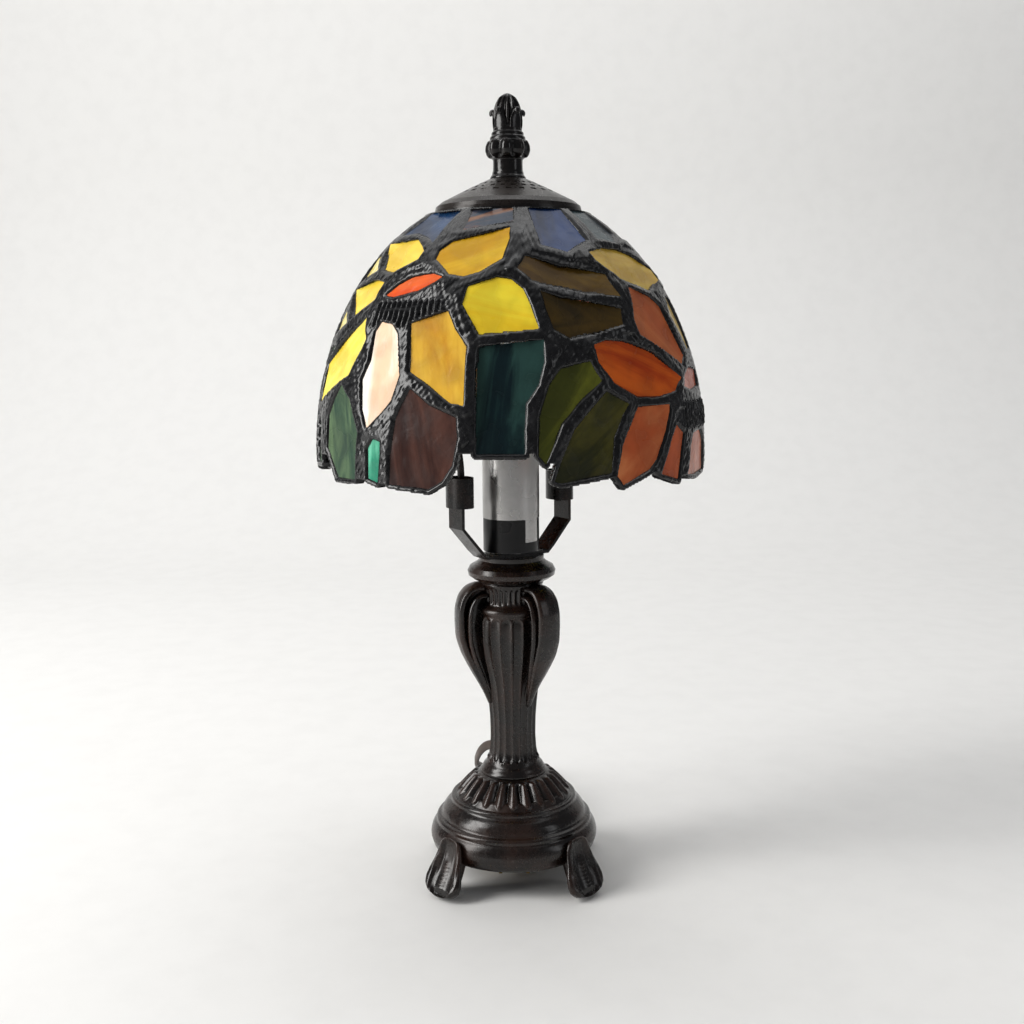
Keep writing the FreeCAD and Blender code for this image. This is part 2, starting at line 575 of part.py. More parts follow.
def shade():
    """Build the panes and the lead that holds them as a single lattice."""
    low, high = size("shade_foot"), size("shade_top")
    heights = [size("shade_mid") + (high - size("shade_mid")) * i / 8.0 for i in range(9)]
    outer = [V(dome_radius(z, -size("came_proud")), 0, z) for z in heights]
    inner = [V(dome_radius(z, size("came_deep")), 0, z) for z in heights if z < size("ring_base") - 4]
    edge_top = V(size("ring_outer"), 0, high)
    edge_low = V(size("ring_outer"), 0, size("ring_base"))
    outside, inside = Part.BSplineCurve(), Part.BSplineCurve()
    outside.interpolate(outer)
    inside.interpolate(inner)
    inner_foot, outer_foot = V(inner[0].x, 0, low), V(outer[0].x, 0, low)
    wire = Part.Wire(Part.__sortEdges__([
        outside.toShape(), inside.toShape(), Part.makeLine(outer[-1], edge_top),
        Part.makeLine(edge_top, edge_low), Part.makeLine(edge_low, inner[-1]),
        Part.makeLine(inner[0], inner_foot), Part.makeLine(inner_foot, outer_foot),
        Part.makeLine(outer_foot, outer[0]),
    ]))
    lead = Part.Face(wire).revolve(V(), V(0, 0, 1), 360).cut(hem_cutter())
    openings = []
    for label, outlines in PANES.items():
        panes = [pane_prism(outline, 0.25, 0.25 - size("glass_thick")) for outline in outlines]
        openings += [pane_prism(outline, 5.0, -7.0) for outline in outlines]
        feature(label, Part.makeCompound(panes + [half_turn(pane) for pane in panes]))
    lead = lead.cut(openings + [half_turn(opening) for opening in openings])
    solids = sorted(lead.Solids, key=lambda solid: solid.Volume)
    assert solids[-1].Volume > 0.97 * lead.Volume, [s.Volume for s in solids]
    feature("lead_came", solids[-1])
    keep(turned("crown_ring", [
        (at("ring_inner"), at("ring_base")), (at("ring_outer"), at("ring_base")),
        (at("ring_outer"), at("cap_base")), (at("ring_inner"), at("cap_base")),
    ]), "crown_ring")


def vented_cap():
    """Press the cap that covers the shade's top, with three rows of vent slots."""
    sheet_thick = size("cap_sheet")
    hole = at("stud_radius", size("stud_clear"))
    upper = [(8.6, at("cap_crown")), (16.5, 314.6), (23.8, 311.0), (29.4, 308.2), (31.9, 306.2),
             (at("cap_radius"), 304.6)]
    lower = [(at("cap_radius", -sheet_thick), 304.8), (31.2, 306.0), (28.9, 307.5), (23.5, 310.1),
             (16.2, 313.7), (8.4, at("cap_crown", -sheet_thick))]
    body = turned("cap", [(hole, at("cap_crown"))] + upper
                  + [(at("cap_radius"), at("cap_base")), (at("cap_radius", -sheet_thick), at("cap_base"))]
                  + lower + [(hole, at("cap_crown", -sheet_thick))])
    slots = []
    count = int(size("vent_count"))
    for row, radius in enumerate((12.6, 16.4, 20.2)):
        for i in range(count):
            slot = Part.makeBox(1.7, size("vent_width") * radius / 20.2, 30, V(radius, -1.0, 300))
            slot.rotate(V(), V(0, 0, 1), (i + 0.5 * (row % 2)) * 360.0 / count)
            slots.append(slot)
    shape = body.Shape.cut(slots)
    doc.removeObject(body.Name)
    return feature("vented_cap", shape)


def finial():
    """Turn the bud-shaped finial, bored for the harp stud."""
    bore = at("stud_radius", size("stud_clear"))
    return keep(turned("bud", [
        (bore, at("finial_base")), (7.9, at("finial_base")), (7.4, 319.6), (6.6, 321.5), (6.6, 327.2),
        (8.4, 328.9), (9.4, 331.6), (8.9, 334.4), (7.4, 337.3), (6.1, 340.8), (6.5, 344.2), (6.0, 347.0),
        (4.7, 350.0), (3.1, 353.0), (0.0, at("finial_tip")), (0.0, at("finial_base", 12.4)),
        (bore, at("finial_base", 12.4)),
    ]), "finial")


# ---------------------------------------------------------------- cord

CORD_HOLE = 4.2
HANK_NEAR, HANK_FAR, HANK_HALF, HANK_HIGH = 56.0, 105.0, 18.8, 9.8
# the cord's route from the base, over its arch, to the far end of the hank
LEAD_ROUTE = [V(0, 42.0, 30.4), V(-0.8, 51.6, 33.4), V(-4.0, 61.8, 35.6), V(-9.0, 71.8, 35.8),
              V(-14.2, 81.2, 32.6), V(-18.0, 89.6, 26.6), V(-20.2, 97.8, 19.8),
              V(-21.0, 106.0, 13.4), V(-18.8, 113.6, 8.2), V(-13.4, 119.2, 5.2), V(-6.4, 122.2, 3.8)]
# from the top of the hank back to the in-line switch, and from the switch down to the plug
SWITCH_ROUTE = [V(13.8, 115.2, 8.2), V(12.8, 108.4, 10.6), V(9.6, 102.0, 13.2),
                V(5.2, 96.2, 15.4), V(1.5, 90.4, 16.6), V(0.0, 84.0, 16.8)]
PLUG_ROUTE = [V(0, 50.4, 16.8), V(0.3, 44.0, 15.3), V(0.1, 36.6, 10.0), V(-0.2, 30.6, 6.9),
              V(0.0, 25.0, 6.0)]


def exit_axis():
    """Return the direction in which the cord leaves the dome."""
    return V(LEAD_ROUTE[1] - LEAD_ROUTE[0]).normalize()


def cord(foot):
    """Lay the flexible cord in its stretches round the foot and the hank, and tie the hank."""
    block = Part.makeBox(2 * HANK_HALF, HANK_FAR - HANK_NEAR, HANK_HIGH, V(-HANK_HALF, HANK_NEAR, 0))
    ends = [Part.makeCylinder(HANK_HALF, HANK_HIGH, V(0, y, 0)) for y in (HANK_NEAR, HANK_FAR)]
    hank = block.multiFuse(ends).removeSplitter()
    feature("cord_hank", hank)
    stretches = []
    for label, route in (("supply_cord", LEAD_ROUTE), ("switch_cord", SWITCH_ROUTE),
                         ("plug_cord", PLUG_ROUTE)):
        shape, length, radii = tube(route, size("cord_width") / 2)
        print(label, "length", round(length, 1), "radii", [round(r, 1) for r in radii])
        stretches.append(shape)
        pieces = shape.cut([hank, foot]).Solids
        feature(label, max(pieces, key=lambda solid: solid.Volume))
    thick, wide = 0.8, 6.0
    place = V(-HANK_HALF - thick, HANK_FAR - 17.0, 0)
    band = Part.makeBox(2 * (HANK_HALF + thick), wide, HANK_HIGH + thick, place)
    feature("cord_tie", band.cut([hank] + stretches))
    return stretches


def bushing(foot):
    """Turn the flanged bushing in the back of the dome, in which the cord leaves it."""
    inner, outer, flange = size("cord_width") / 2, CORD_HOLE, CORD_HOLE + 1.8
    axis = exit_axis()
    face = LEAD_ROUTE[0] - axis * 9.6
    shape = Part.makeCylinder(outer, 9.6, face, axis)
    shape = shape.fuse(Part.makeCone(flange, outer, 3.4, LEAD_ROUTE[0] - axis * 4.4, axis))
    shape = shape.cut(Part.makeCylinder(inner, 12, face - axis, axis))
    feature("cord_bushing", shape.cut(foot).Solids[0])


def rounded_box(low, high, radius):
    """Make a box with all its edges rounded."""
    box = Part.makeBox(high.x - low.x, high.y - low.y, high.z - low.z, low)
    return box.makeFillet(radius, box.Edges)


def inline_switch(stretches):
    """Build the switch on the cord: two half shells and a thumbwheel between them."""
    half, height, middle = size("switch_width") / 2, size("switch_height"), SWITCH_ROUTE[-1].z
    far = SWITCH_ROUTE[-1].y + 2.0
    near = far - size("switch_length")
    low, high = V(-half, near, middle - height / 2), V(half, far, middle + height / 2)
    shell = rounded_box(low, high, 2.4)
    wheel_centre = V(half - 4.6, (near + far) / 2, middle - 2.0)
    pocket = Part.makeCylinder(7.6, 4.0, wheel_centre)
    shell = shell.cut([pocket] + stretches)
    top_cut = Part.makeBox(60, 80, 20, V(-30, near - 10, middle))
    feature("switch_lower", shell.cut(top_cut))
    feature("switch_upper", shell.common(top_cut))
    wheel = Part.makeCylinder(7.2, 3.2, wheel_centre + V(0, 0, 0.4))
    grips = [Part.makeCylinder(0.7, 6, wheel_centre + polar(7.4, i * 20.0, -1)) for i in range(18)]
    feature("switch_wheel", wheel.cut(grips))


def plug(stretches):
    """Mould the two-blade plug."""
    half, height = size("plug_width") / 2, size("plug_height")
    back = PLUG_ROUTE[-1].y
    front = back - size("plug_length")
    middle = PLUG_ROUTE[-1].z
    shape = rounded_box(V(-half, front, middle - height / 2), V(half, back, middle + height / 2), 2.6)
    blades = [Part.makeBox(1.6, 17.0, 6.4, V(side * 6.35 - 0.8, front - 15.5, middle - 3.2))
              for side in (-1, 1)]
    feature("plug_body", shape.cut(blades + stretches))
    hole = Part.makeCylinder(1.4, 40, V(-20, front - 12.2, middle), V(1, 0, 0))
    feature("plug_blades", Part.makeCompound([blade.cut(hole) for blade in blades]))


def inner_wires():
    """Run the two conductors up the pipe from the bushing to the terminals."""
    wires = []
    for side in (-1, 1):
        route = [V(side * 1.4, 31.0, 27.8), V(side * 1.4, 24.0, 26.4), V(side * 1.4, 14.0, 25.0),
                 V(side * 1.4, 4.6, 27.0), V(side * 1.4, 0.0, 34.0), V(side * 1.4, 0.0, 62.0),
                 V(side * 1.6, 0.0, 110.0), V(side * 1.6, 0.0, 161.0)]
        shape, _, _ = tube(route, 1.15)
        wires.append(shape)
    feature("inner_wires", Part.makeCompound(wires))


foot = foot_casting()
column_casting()
neck_disc()
threaded_pipe()
pipe_hardware()
harp_saddle()
harp_loop(harp_stud())
ferrule("ferrule_left", -1)
ferrule("ferrule_right", 1)
socket()
bulb()
shade()
vented_cap()
finial()
cord_stretches = cord(foot.Shape)
bushing(foot.Shape)
inline_switch(cord_stretches)
plug(cord_stretches)
inner_wires()

doc.recompute()
for item in doc.Objects:
    assert not {"Invalid", "Error"} & set(item.State), (item.Label, item.State)
for piece in PIECES:
    assert not piece.Shape.isNull() and piece.Shape.isValid(), piece.Label
os.makedirs("parts", exist_ok=True)
for piece in PIECES:
    piece.Shape.exportStep(f"parts/{piece.Label}.step")
print(len(PIECES), "sub-parts written")
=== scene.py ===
import json
import math

import bpy
import numpy as np
from mathutils import Matrix


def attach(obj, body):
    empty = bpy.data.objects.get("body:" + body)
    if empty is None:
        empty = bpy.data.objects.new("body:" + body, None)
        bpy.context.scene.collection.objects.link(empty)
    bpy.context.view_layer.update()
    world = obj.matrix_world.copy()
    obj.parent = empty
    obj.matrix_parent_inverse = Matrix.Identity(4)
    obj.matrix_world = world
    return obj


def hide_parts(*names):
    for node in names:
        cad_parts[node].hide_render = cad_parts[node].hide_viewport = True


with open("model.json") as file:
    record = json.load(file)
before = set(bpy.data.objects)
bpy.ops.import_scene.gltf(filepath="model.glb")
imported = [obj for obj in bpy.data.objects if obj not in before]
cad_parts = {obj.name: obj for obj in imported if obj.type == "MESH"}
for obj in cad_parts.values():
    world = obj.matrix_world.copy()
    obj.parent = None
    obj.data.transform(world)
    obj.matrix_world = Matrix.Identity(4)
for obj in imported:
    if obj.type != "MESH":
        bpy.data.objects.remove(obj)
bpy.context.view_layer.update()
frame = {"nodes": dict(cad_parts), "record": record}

bl_info = {
    "name": "Leaded Glass Table Lamp",
    "version": (1, 0, 0),
    "blender": (4, 5, 0),
    "location": "View3D > Sidebar > Lamp",
    "description": "Builds the cast foot, column, glass shade, finial, cord and finishes of a small lamp",
    "category": "Add Mesh",
}

MM = 0.001
LAMP, SHADE = "lamp", "shade"


# ---------------------------------------------------------------- sizes and colours

def length(name, description, default):
    """Return a length property, in metres."""
    return bpy.props.FloatProperty(name=name, description=description, default=default,
                                   unit="LENGTH", precision=5)


def colour(name, description, default):
    """Return a colour property."""
    return bpy.props.FloatVectorProperty(name=name, description=description, default=default,
                                         size=3, min=0.0, max=1.0, subtype="COLOR")


class LampSizes(bpy.types.PropertyGroup):
    """Sizes of the relief and the details."""
    reed_count: bpy.props.IntProperty(name="Reeds", description="Reeds round the foot", default=24)
    reed_depth: length("Reed depth", "How far the reeds stand out of the foot", 0.0021)
    flute_count: bpy.props.IntProperty(name="Flutes", description="Flutes round the column", default=20)
    flute_depth: length("Flute depth", "How deep the column's flutes are", 0.0011)
    solder_height: length("Solder height", "How far the solder line stands out of the glass", 0.0011)
    solder_overlap: length("Solder overlap", "How far the solder laps over a pane's edge", 0.0003)
    cord_width: length("Cord width", "Width of the flat twin cord", 0.0048)
    cord_thickness: length("Cord thickness", "Thickness of the flat twin cord", 0.0025)
    floor_half: length("Floor half width", "Half the width of the floor", 1.6)


class LampColours(bpy.types.PropertyGroup):
    """Colours of the finishes."""
    bronze: colour("Bronze", "Dark of the oil-rubbed bronze", (0.0060, 0.0040, 0.0034))
    bronze_worn: colour("Worn bronze", "Warm brown where the bronze is rubbed", (0.030, 0.0135, 0.0085))
    gunmetal: colour("Gunmetal", "Finial and harp", (0.0050, 0.0045, 0.0045))
    graphite: colour("Graphite", "Vented cap", (0.012, 0.0095, 0.0085))
    patina: colour("Patina", "Black patina on the solder", (0.0025, 0.0025, 0.0028))
    bright_solder: colour("Rubbed solder", "Solder where the patina is thin", (0.016, 0.016, 0.018))
    cord: colour("Cord", "Brown of the cord", (0.040, 0.021, 0.013))
    plastic: colour("Plastic", "Black mouldings", (0.008, 0.008, 0.009))
    foil: colour("Foil", "Plain foil on the socket tube", (0.50, 0.49, 0.48))
    floor: colour("Floor", "Pale floor", (0.82, 0.815, 0.80))


def sizes():
    """Return the scene's lamp sizes."""
    return bpy.context.scene.lamp_sizes


def colours():
    """Return the scene's lamp colours."""
    return bpy.context.scene.lamp_colours


# ---------------------------------------------------------------- surfaces

def put_mesh(name, points, faces, smooth=True, fields=None):
    """Make an object from points in metres and four-cornered faces.

    Points at the same place become one, faces that have shrunk to a line are dropped, and if the
    volume, a sixth of the sum over the faces of a . (b x c), is negative, all faces are turned.
    """
    keys = np.round(points * 1e7).astype(np.int64)
    _, first, index = np.unique(keys, axis=0, return_index=True, return_inverse=True)
    points, corners = points[first], index.reshape(-1)[faces]
    turned = np.roll(corners, -1, axis=1)
    keep = corners != turned
    count = keep.sum(axis=1)
    corners, keep, count = corners[count > 2], keep[count > 2], count[count > 2]
    a, b, c, d = (points[corners[:, i]] for i in range(4))
    volume = (a * np.cross(b, c)).sum() + (a * np.cross(c, d)).sum()
    if volume < 0:
        corners, keep = corners[:, ::-1], np.roll(keep, 1, axis=1)[:, ::-1]
    mesh = bpy.data.meshes.new(name)
    mesh.vertices.add(len(points))
    mesh.vertices.foreach_set("co", points.astype(np.float32).ravel())
    loops = corners[keep]
    mesh.loops.add(len(loops))
    mesh.loops.foreach_set("vertex_index", loops.astype(np.int32))
    mesh.polygons.add(len(corners))
    starts = np.concatenate([[0], np.cumsum(count)[:-1]])
    mesh.polygons.foreach_set("loop_start", starts.astype(np.int32))
    mesh.polygons.foreach_set("use_smooth", np.full(len(corners), smooth))
    for label, values in (fields or {}).items():
        values = np.asarray(values)[first]
        if values.ndim == 1:
            mesh.attributes.new(label, "FLOAT", "POINT").data.foreach_set("value", values)
        else:
            layer = mesh.attributes.new(label, "FLOAT_COLOR", "POINT")
            full = np.concatenate([values, np.ones((len(values), 1))], axis=1)
            layer.data.foreach_set("color", full.ravel())
    mesh.update(calc_edges=True)
    mesh.validate()
    piece = bpy.data.objects.new(name, mesh)
    bpy.context.scene.collection.objects.link(piece)
    return piece


def grid_faces(rows, columns, wrap_rows=False, wrap_columns=True):
    """Return the faces of a grid of points: each joins a point to its next row and next column."""
    i = np.arange(rows if wrap_rows else rows - 1)[:, None]
    j = np.arange(columns if wrap_columns else columns - 1)[None, :]
    down, right = (i + 1) % rows, (j + 1) % columns
    return np.stack([i * columns + j, down * columns + j, down * columns + right,
                     i * columns + right], axis=-1).reshape(-1, 4)


def smooth_line(points, step, rounds=2):
    """Divide a line into equal steps by its length and round its corners.

    Each round replaces a point by a quarter of each neighbour and half of itself.
    """
    points = np.asarray(points, float)
    along = np.concatenate([[0], np.cumsum(np.linalg.norm(np.diff(points, axis=0), axis=1))])
    steps = np.linspace(0, along[-1], max(int(along[-1] / step), 4) + 1)
    line = np.stack([np.interp(steps, along, points[:, k]) for k in range(points.shape[1])], axis=1)
    for _ in range(rounds):
        line[1:-1] = 0.25 * line[:-2] + 0.5 * line[1:-1] + 0.25 * line[2:]
    return line


def ease(x, low, high):
    """Rise from 0 at low to 1 at high with level ends: 3 t^2 - 2 t^3."""
    t = np.clip((x - low) / (high - low), 0.0, 1.0)
    return t * t * (3.0 - 2.0 * t)


def lathe(name, outer, inner, turns, relief=None, step=0.45):
    """Turn an outline in millimetres round Z.

    A point is (r cos a, r sin a, z). The relief, a height in millimetres worked out from the angle
    and from the outline's r and z, moves the points of the outer side along the outline's normal.
    """
    outside = smooth_line(outer, step)
    inside = smooth_line(inner, 1.5, 1) if len(inner) else np.zeros((0, 2))
    line = np.concatenate([outside, inside])
    slope = np.gradient(outside, axis=0)
    normal = np.stack([-slope[:, 1], slope[:, 0]], axis=1)
    normal /= np.linalg.norm(normal, axis=1)[:, None] + 1e-9
    normal *= np.where((normal[:, :1] * 1.0 + 1e-6).mean() < 0, -1.0, 1.0)
    angle = np.linspace(0, 2 * np.pi, turns, endpoint=False)[None, :]
    r = np.repeat(line[:, :1], turns, axis=1)
    z = np.repeat(line[:, 1:], turns, axis=1)
    height = np.zeros_like(r)
    if relief is not None:
        n = len(outside)
        height[:n] = relief(angle, r[:n], z[:n])
        r[:n] += height[:n] * normal[:, :1]
        z[:n] += height[:n] * normal[:, 1:]
    points = np.stack([r * np.cos(angle), r * np.sin(angle), z], axis=-1).reshape(-1, 3)
    faces = grid_faces(len(line), turns, wrap_rows=len(inner) > 0)
    return put_mesh(name, points * MM, faces, fields={"relief": height.ravel()})


def sweep(path, side, lift, section):
    """Carry a closed section along a path: path + u side + v lift, and close both ends.

    The section gives (u, v) for each row and column. Returns points and faces.
    """
    points = (path[:, None] + section[..., :1] * side[:, None] + section[..., 1:2] * lift[:, None])
    ends = [np.repeat(points[k].mean(axis=0)[None, None], points.shape[1], axis=1) for k in (0, -1)]
    points = np.concatenate([ends[0], points, ends[1]])
    return points.reshape(-1, 3), grid_faces(points.shape[0], points.shape[1])


def turn_about_z(points, degrees):
    """Turn points about Z: (x cos a - y sin a, x sin a + y cos a, z)."""
    a = math.radians(degrees)
    x, y, z = points[..., 0], points[..., 1], points[..., 2]
    return np.stack([x * math.cos(a) - y * math.sin(a), x * math.sin(a) + y * math.cos(a), z], axis=-1)


def join(parts):
    """Join (points, faces, field) parts into one, with the face numbers shifted."""
    shift, points, faces, fields = 0, [], [], []
    for some_points, some_faces, field in parts:
        points.append(some_points)
        faces.append(some_faces + shift)
        fields.append(field)
        shift += len(some_points)
    return np.concatenate(points), np.concatenate(faces), np.concatenate(fields)


def closed_rows(field, columns):
    """Repeat a field's first and last rows for the end caps that sweep adds."""
    field = np.broadcast_to(field, (field.shape[0], columns))
    return np.concatenate([field[:1], field, field[-1:]]).ravel()


# ---------------------------------------------------------------- shader groups and materials

def new_group(name, inputs, outputs):
    """Start a shader group with named sockets; inputs are (name, kind, default)."""
    group = bpy.data.node_groups.new(name, "ShaderNodeTree")
    for label, kind, default in inputs:
        socket = group.interface.new_socket(label, in_out="INPUT", socket_type=kind)
        socket.default_value = default
    for label, kind in outputs:
        group.interface.new_socket(label, in_out="OUTPUT", socket_type=kind)
    return group, group.nodes.new("NodeGroupInput"), group.nodes.new("NodeGroupOutput")


def node(tree, kind, settings=None, **links):
    """Add a node, set its settings, and feed its inputs from sockets or values."""
    made = tree.nodes.new(kind)
    for key, value in (settings or {}).items():
        setattr(made, key, value)
    for key, value in links.items():
        target = made.inputs[int(key[1:])] if key[0] == "i" and key[1:].isdigit() else made.inputs[key]
        if isinstance(value, bpy.types.NodeSocket):
            tree.links.new(value, target)
        else:
            target.default_value = value
    return made


def noise(tree, vector, scale, detail=3.0, rough=0.55, distort=0.0):
    """Add a noise texture and return its value."""
    return node(tree, "ShaderNodeTexNoise", Vector=vector, Scale=scale, Detail=detail,
                Roughness=rough, Distortion=distort).outputs["Fac"]


def spread(tree, value, low, high, to_low=0.0, to_high=1.0):
    """Map a value from one range to another, with level ends."""
    return node(tree, "ShaderNodeMapRange", {"interpolation_type": "SMOOTHSTEP"}, Value=value,
                i1=low, i2=high, i3=to_low, i4=to_high).outputs[0]


def mix_colour(tree, factor, a, b):
    """Mix two colours by a factor."""
    made = tree.nodes.new("ShaderNodeMix")
    made.data_type = "RGBA"
    for index, value in ((0, factor), (6, a), (7, b)):
        if isinstance(value, bpy.types.NodeSocket):
            tree.links.new(value, made.inputs[index])
        else:
            made.inputs[index].default_value = value
    return made.outputs[2]


def maths(tree, operation, a, b=0.0):
    """Combine two values."""
    return node(tree, "ShaderNodeMath", {"operation": operation}, i0=a, i1=b).outputs[0]


def rubbed_and_shaded_group():
    """Build the group that rubs the heights of a painted casting and paints shade into its hollows."""
    group, start, end = new_group("Rubbed Finish And Painted Shade", [
        ("Base", "NodeSocketColor", (0.02, 0.015, 0.012, 1)), ("Worn", "NodeSocketColor", (0.1, 0.05, 0.03, 1)),
        ("Scale", "NodeSocketFloat", 60.0), ("Wear", "NodeSocketFloat", 0.5),
        ("Rough", "NodeSocketFloat", 0.35)],
        [("Color", "NodeSocketColor"), ("Roughness", "NodeSocketFloat"), ("Height", "NodeSocketFloat")])
    place = node(group, "ShaderNodeTexCoord").outputs["Object"]
    relief = node(group, "ShaderNodeAttribute", {"attribute_name": "relief"}).outputs["Fac"]
    cloud = noise(group, place, start.outputs["Scale"], 4.0)
    grit = noise(group, place, 600.0, 1.0)
    high = spread(group, relief, -0.2, 0.9)
    worn = maths(group, "MULTIPLY", spread(group, maths(group, "ADD", cloud, maths(group, "MULTIPLY", high, 0.25)),
                                           0.42, 0.72), start.outputs["Wear"])
    tone = mix_colour(group, worn, start.outputs["Base"], start.outputs["Worn"])
    # painted shade: where the relief sinks below the surface, in grooves, flutes, dished leaves and the webs behind
    # the straps, the colour is pulled towards near-black
    hollow_shade = spread(group, maths(group, "MULTIPLY", relief, -1.0), 0.2, 1.2, 0.0, 0.55)
    group.links.new(mix_colour(group, hollow_shade, tone, (0.004, 0.0035, 0.003, 1)), end.inputs["Color"])
    shade = spread(group, maths(group, "ADD", maths(group, "MULTIPLY", cloud, 0.6),
                                maths(group, "MULTIPLY", grit, 0.4)), 0.3, 0.7, -0.08, 0.12)
    group.links.new(maths(group, "ADD", start.outputs["Rough"], shade), end.inputs["Roughness"])
    group.links.new(maths(group, "ADD", maths(group, "MULTIPLY", cloud, 0.8),
                          maths(group, "MULTIPLY", grit, 0.12)), end.inputs["Height"])
    return group


def moulded_group():
    """Build the group for the fine grain and the small colour drift of mouldings and plain metal."""
    group, start, end = new_group("Fine Grain", [
        ("Base", "NodeSocketColor", (0.1, 0.1, 0.1, 1)), ("Scale", "NodeSocketFloat", 700.0),
        ("Drift", "NodeSocketFloat", 0.2), ("Rough", "NodeSocketFloat", 0.4)],
        [("Color", "NodeSocketColor"), ("Roughness", "NodeSocketFloat"), ("Height", "NodeSocketFloat")])
    place = node(group, "ShaderNodeTexCoord").outputs["Object"]
    broad = noise(group, place, 45.0, 3.0)
    fine = noise(group, place, start.outputs["Scale"], 2.0)
    dim = node(group, "ShaderNodeHueSaturation", Value=0.62, Color=start.outputs["Base"]).outputs[0]
    factor = maths(group, "MULTIPLY", spread(group, broad, 0.35, 0.75), start.outputs["Drift"])
    group.links.new(mix_colour(group, factor, start.outputs["Base"], dim), end.inputs["Color"])
    group.links.new(maths(group, "ADD", start.outputs["Rough"], spread(group, broad, 0.3, 0.7, -0.06, 0.1)),
                    end.inputs["Roughness"])
    group.links.new(fine, end.inputs["Height"])
    return group


def streak_group():
    """Build the group for streaky art glass: long wisps of one colour in another, and ripples."""
    group, start, end = new_group("Streaky Glass", [
        ("Light", "NodeSocketColor", (0.8, 0.7, 0.2, 1)), ("Dark", "NodeSocketColor", (0.5, 0.3, 0.1, 1)),
        ("Scale", "NodeSocketFloat", 40.0), ("Turn", "NodeSocketVector", (0.0, 0.0, 0.0)),
        ("Contrast", "NodeSocketFloat", 0.2)],
        [("Color", "NodeSocketColor"), ("Height", "NodeSocketFloat"), ("Roughness", "NodeSocketFloat")])
    place = node(group, "ShaderNodeUVMap", {"uv_map": "pane"}).outputs["UV"]
    drawn = node(group, "ShaderNodeMapping", Vector=place, Rotation=start.outputs["Turn"],
                 Scale=(1.0, 0.22, 1.0)).outputs[0]
    wisp = noise(group, drawn, start.outputs["Scale"], 5.0, 0.6, 0.9)
    low = maths(group, "SUBTRACT", 0.5, start.outputs["Contrast"])
    high = maths(group, "ADD", 0.5, start.outputs["Contrast"])
    mask = spread(group, wisp, low, high)
    cloud = noise(group, place, 60.0, 2.0)
    tone = mix_colour(group, mask, start.outputs["Dark"], start.outputs["Light"])
    dim = node(group, "ShaderNodeHueSaturation", Value=0.8, Color=tone).outputs[0]
    group.links.new(mix_colour(group, spread(group, cloud, 0.4, 0.65), tone, dim), end.inputs["Color"])
    ripple = noise(group, place, 130.0, 2.0, 0.5, 0.3)
    group.links.new(maths(group, "ADD", maths(group, "MULTIPLY", ripple, 0.7),
                          maths(group, "MULTIPLY", wisp, 0.3)), end.inputs["Height"])
    group.links.new(spread(group, cloud, 0.3, 0.7, 0.16, 0.3), end.inputs["Roughness"])
    return group


# the worn group rubs the heights and also paints shade into the hollows
GROUPS = {"worn": rubbed_and_shaded_group, "moulded": moulded_group, "streak": streak_group}


def shared_group(kind):
    """Return a shader group, building it the first time."""
    name = {"worn": "Rubbed Finish And Painted Shade", "moulded": "Fine Grain", "streak": "Streaky Glass"}[kind]
    return bpy.data.node_groups.get(name) or GROUPS[kind]()


def start_material(name, **plain):
    """Make a material and set plain values on its shader."""
    material = bpy.data.materials.new(name)
    material.use_nodes = True
    shader = material.node_tree.nodes["Principled BSDF"]
    for key, value in plain.items():
        shader.inputs[key.replace("_", " ")].default_value = value
    return material, material.node_tree, shader


def use_group(material, kind, bump, distance, **values):
    """Place a shader group in a material and feed the shader's colour, roughness and bump."""
    tree = material.node_tree
    shader = tree.nodes["Principled BSDF"]
    placed = tree.nodes.new("ShaderNodeGroup")
    placed.node_tree = shared_group(kind)
    for key, value in values.items():
        if isinstance(value, bpy.types.NodeSocket):
            tree.links.new(value, placed.inputs[key])
        else:
            placed.inputs[key].default_value = value
    tree.links.new(placed.outputs["Color"], shader.inputs["Base Color"])
    tree.links.new(placed.outputs["Roughness"], shader.inputs["Roughness"])
    raised = node(tree, "ShaderNodeBump", Strength=bump, Distance=distance,
                  Height=placed.outputs["Height"])
    tree.links.new(raised.outputs[0], shader.inputs["Normal"])
    return material


def rgba(values):
    """Add a full alpha to a colour."""
    return (*values[:3], 1.0)


# the finishes made so far, by the record's slots
FINISHES = {}


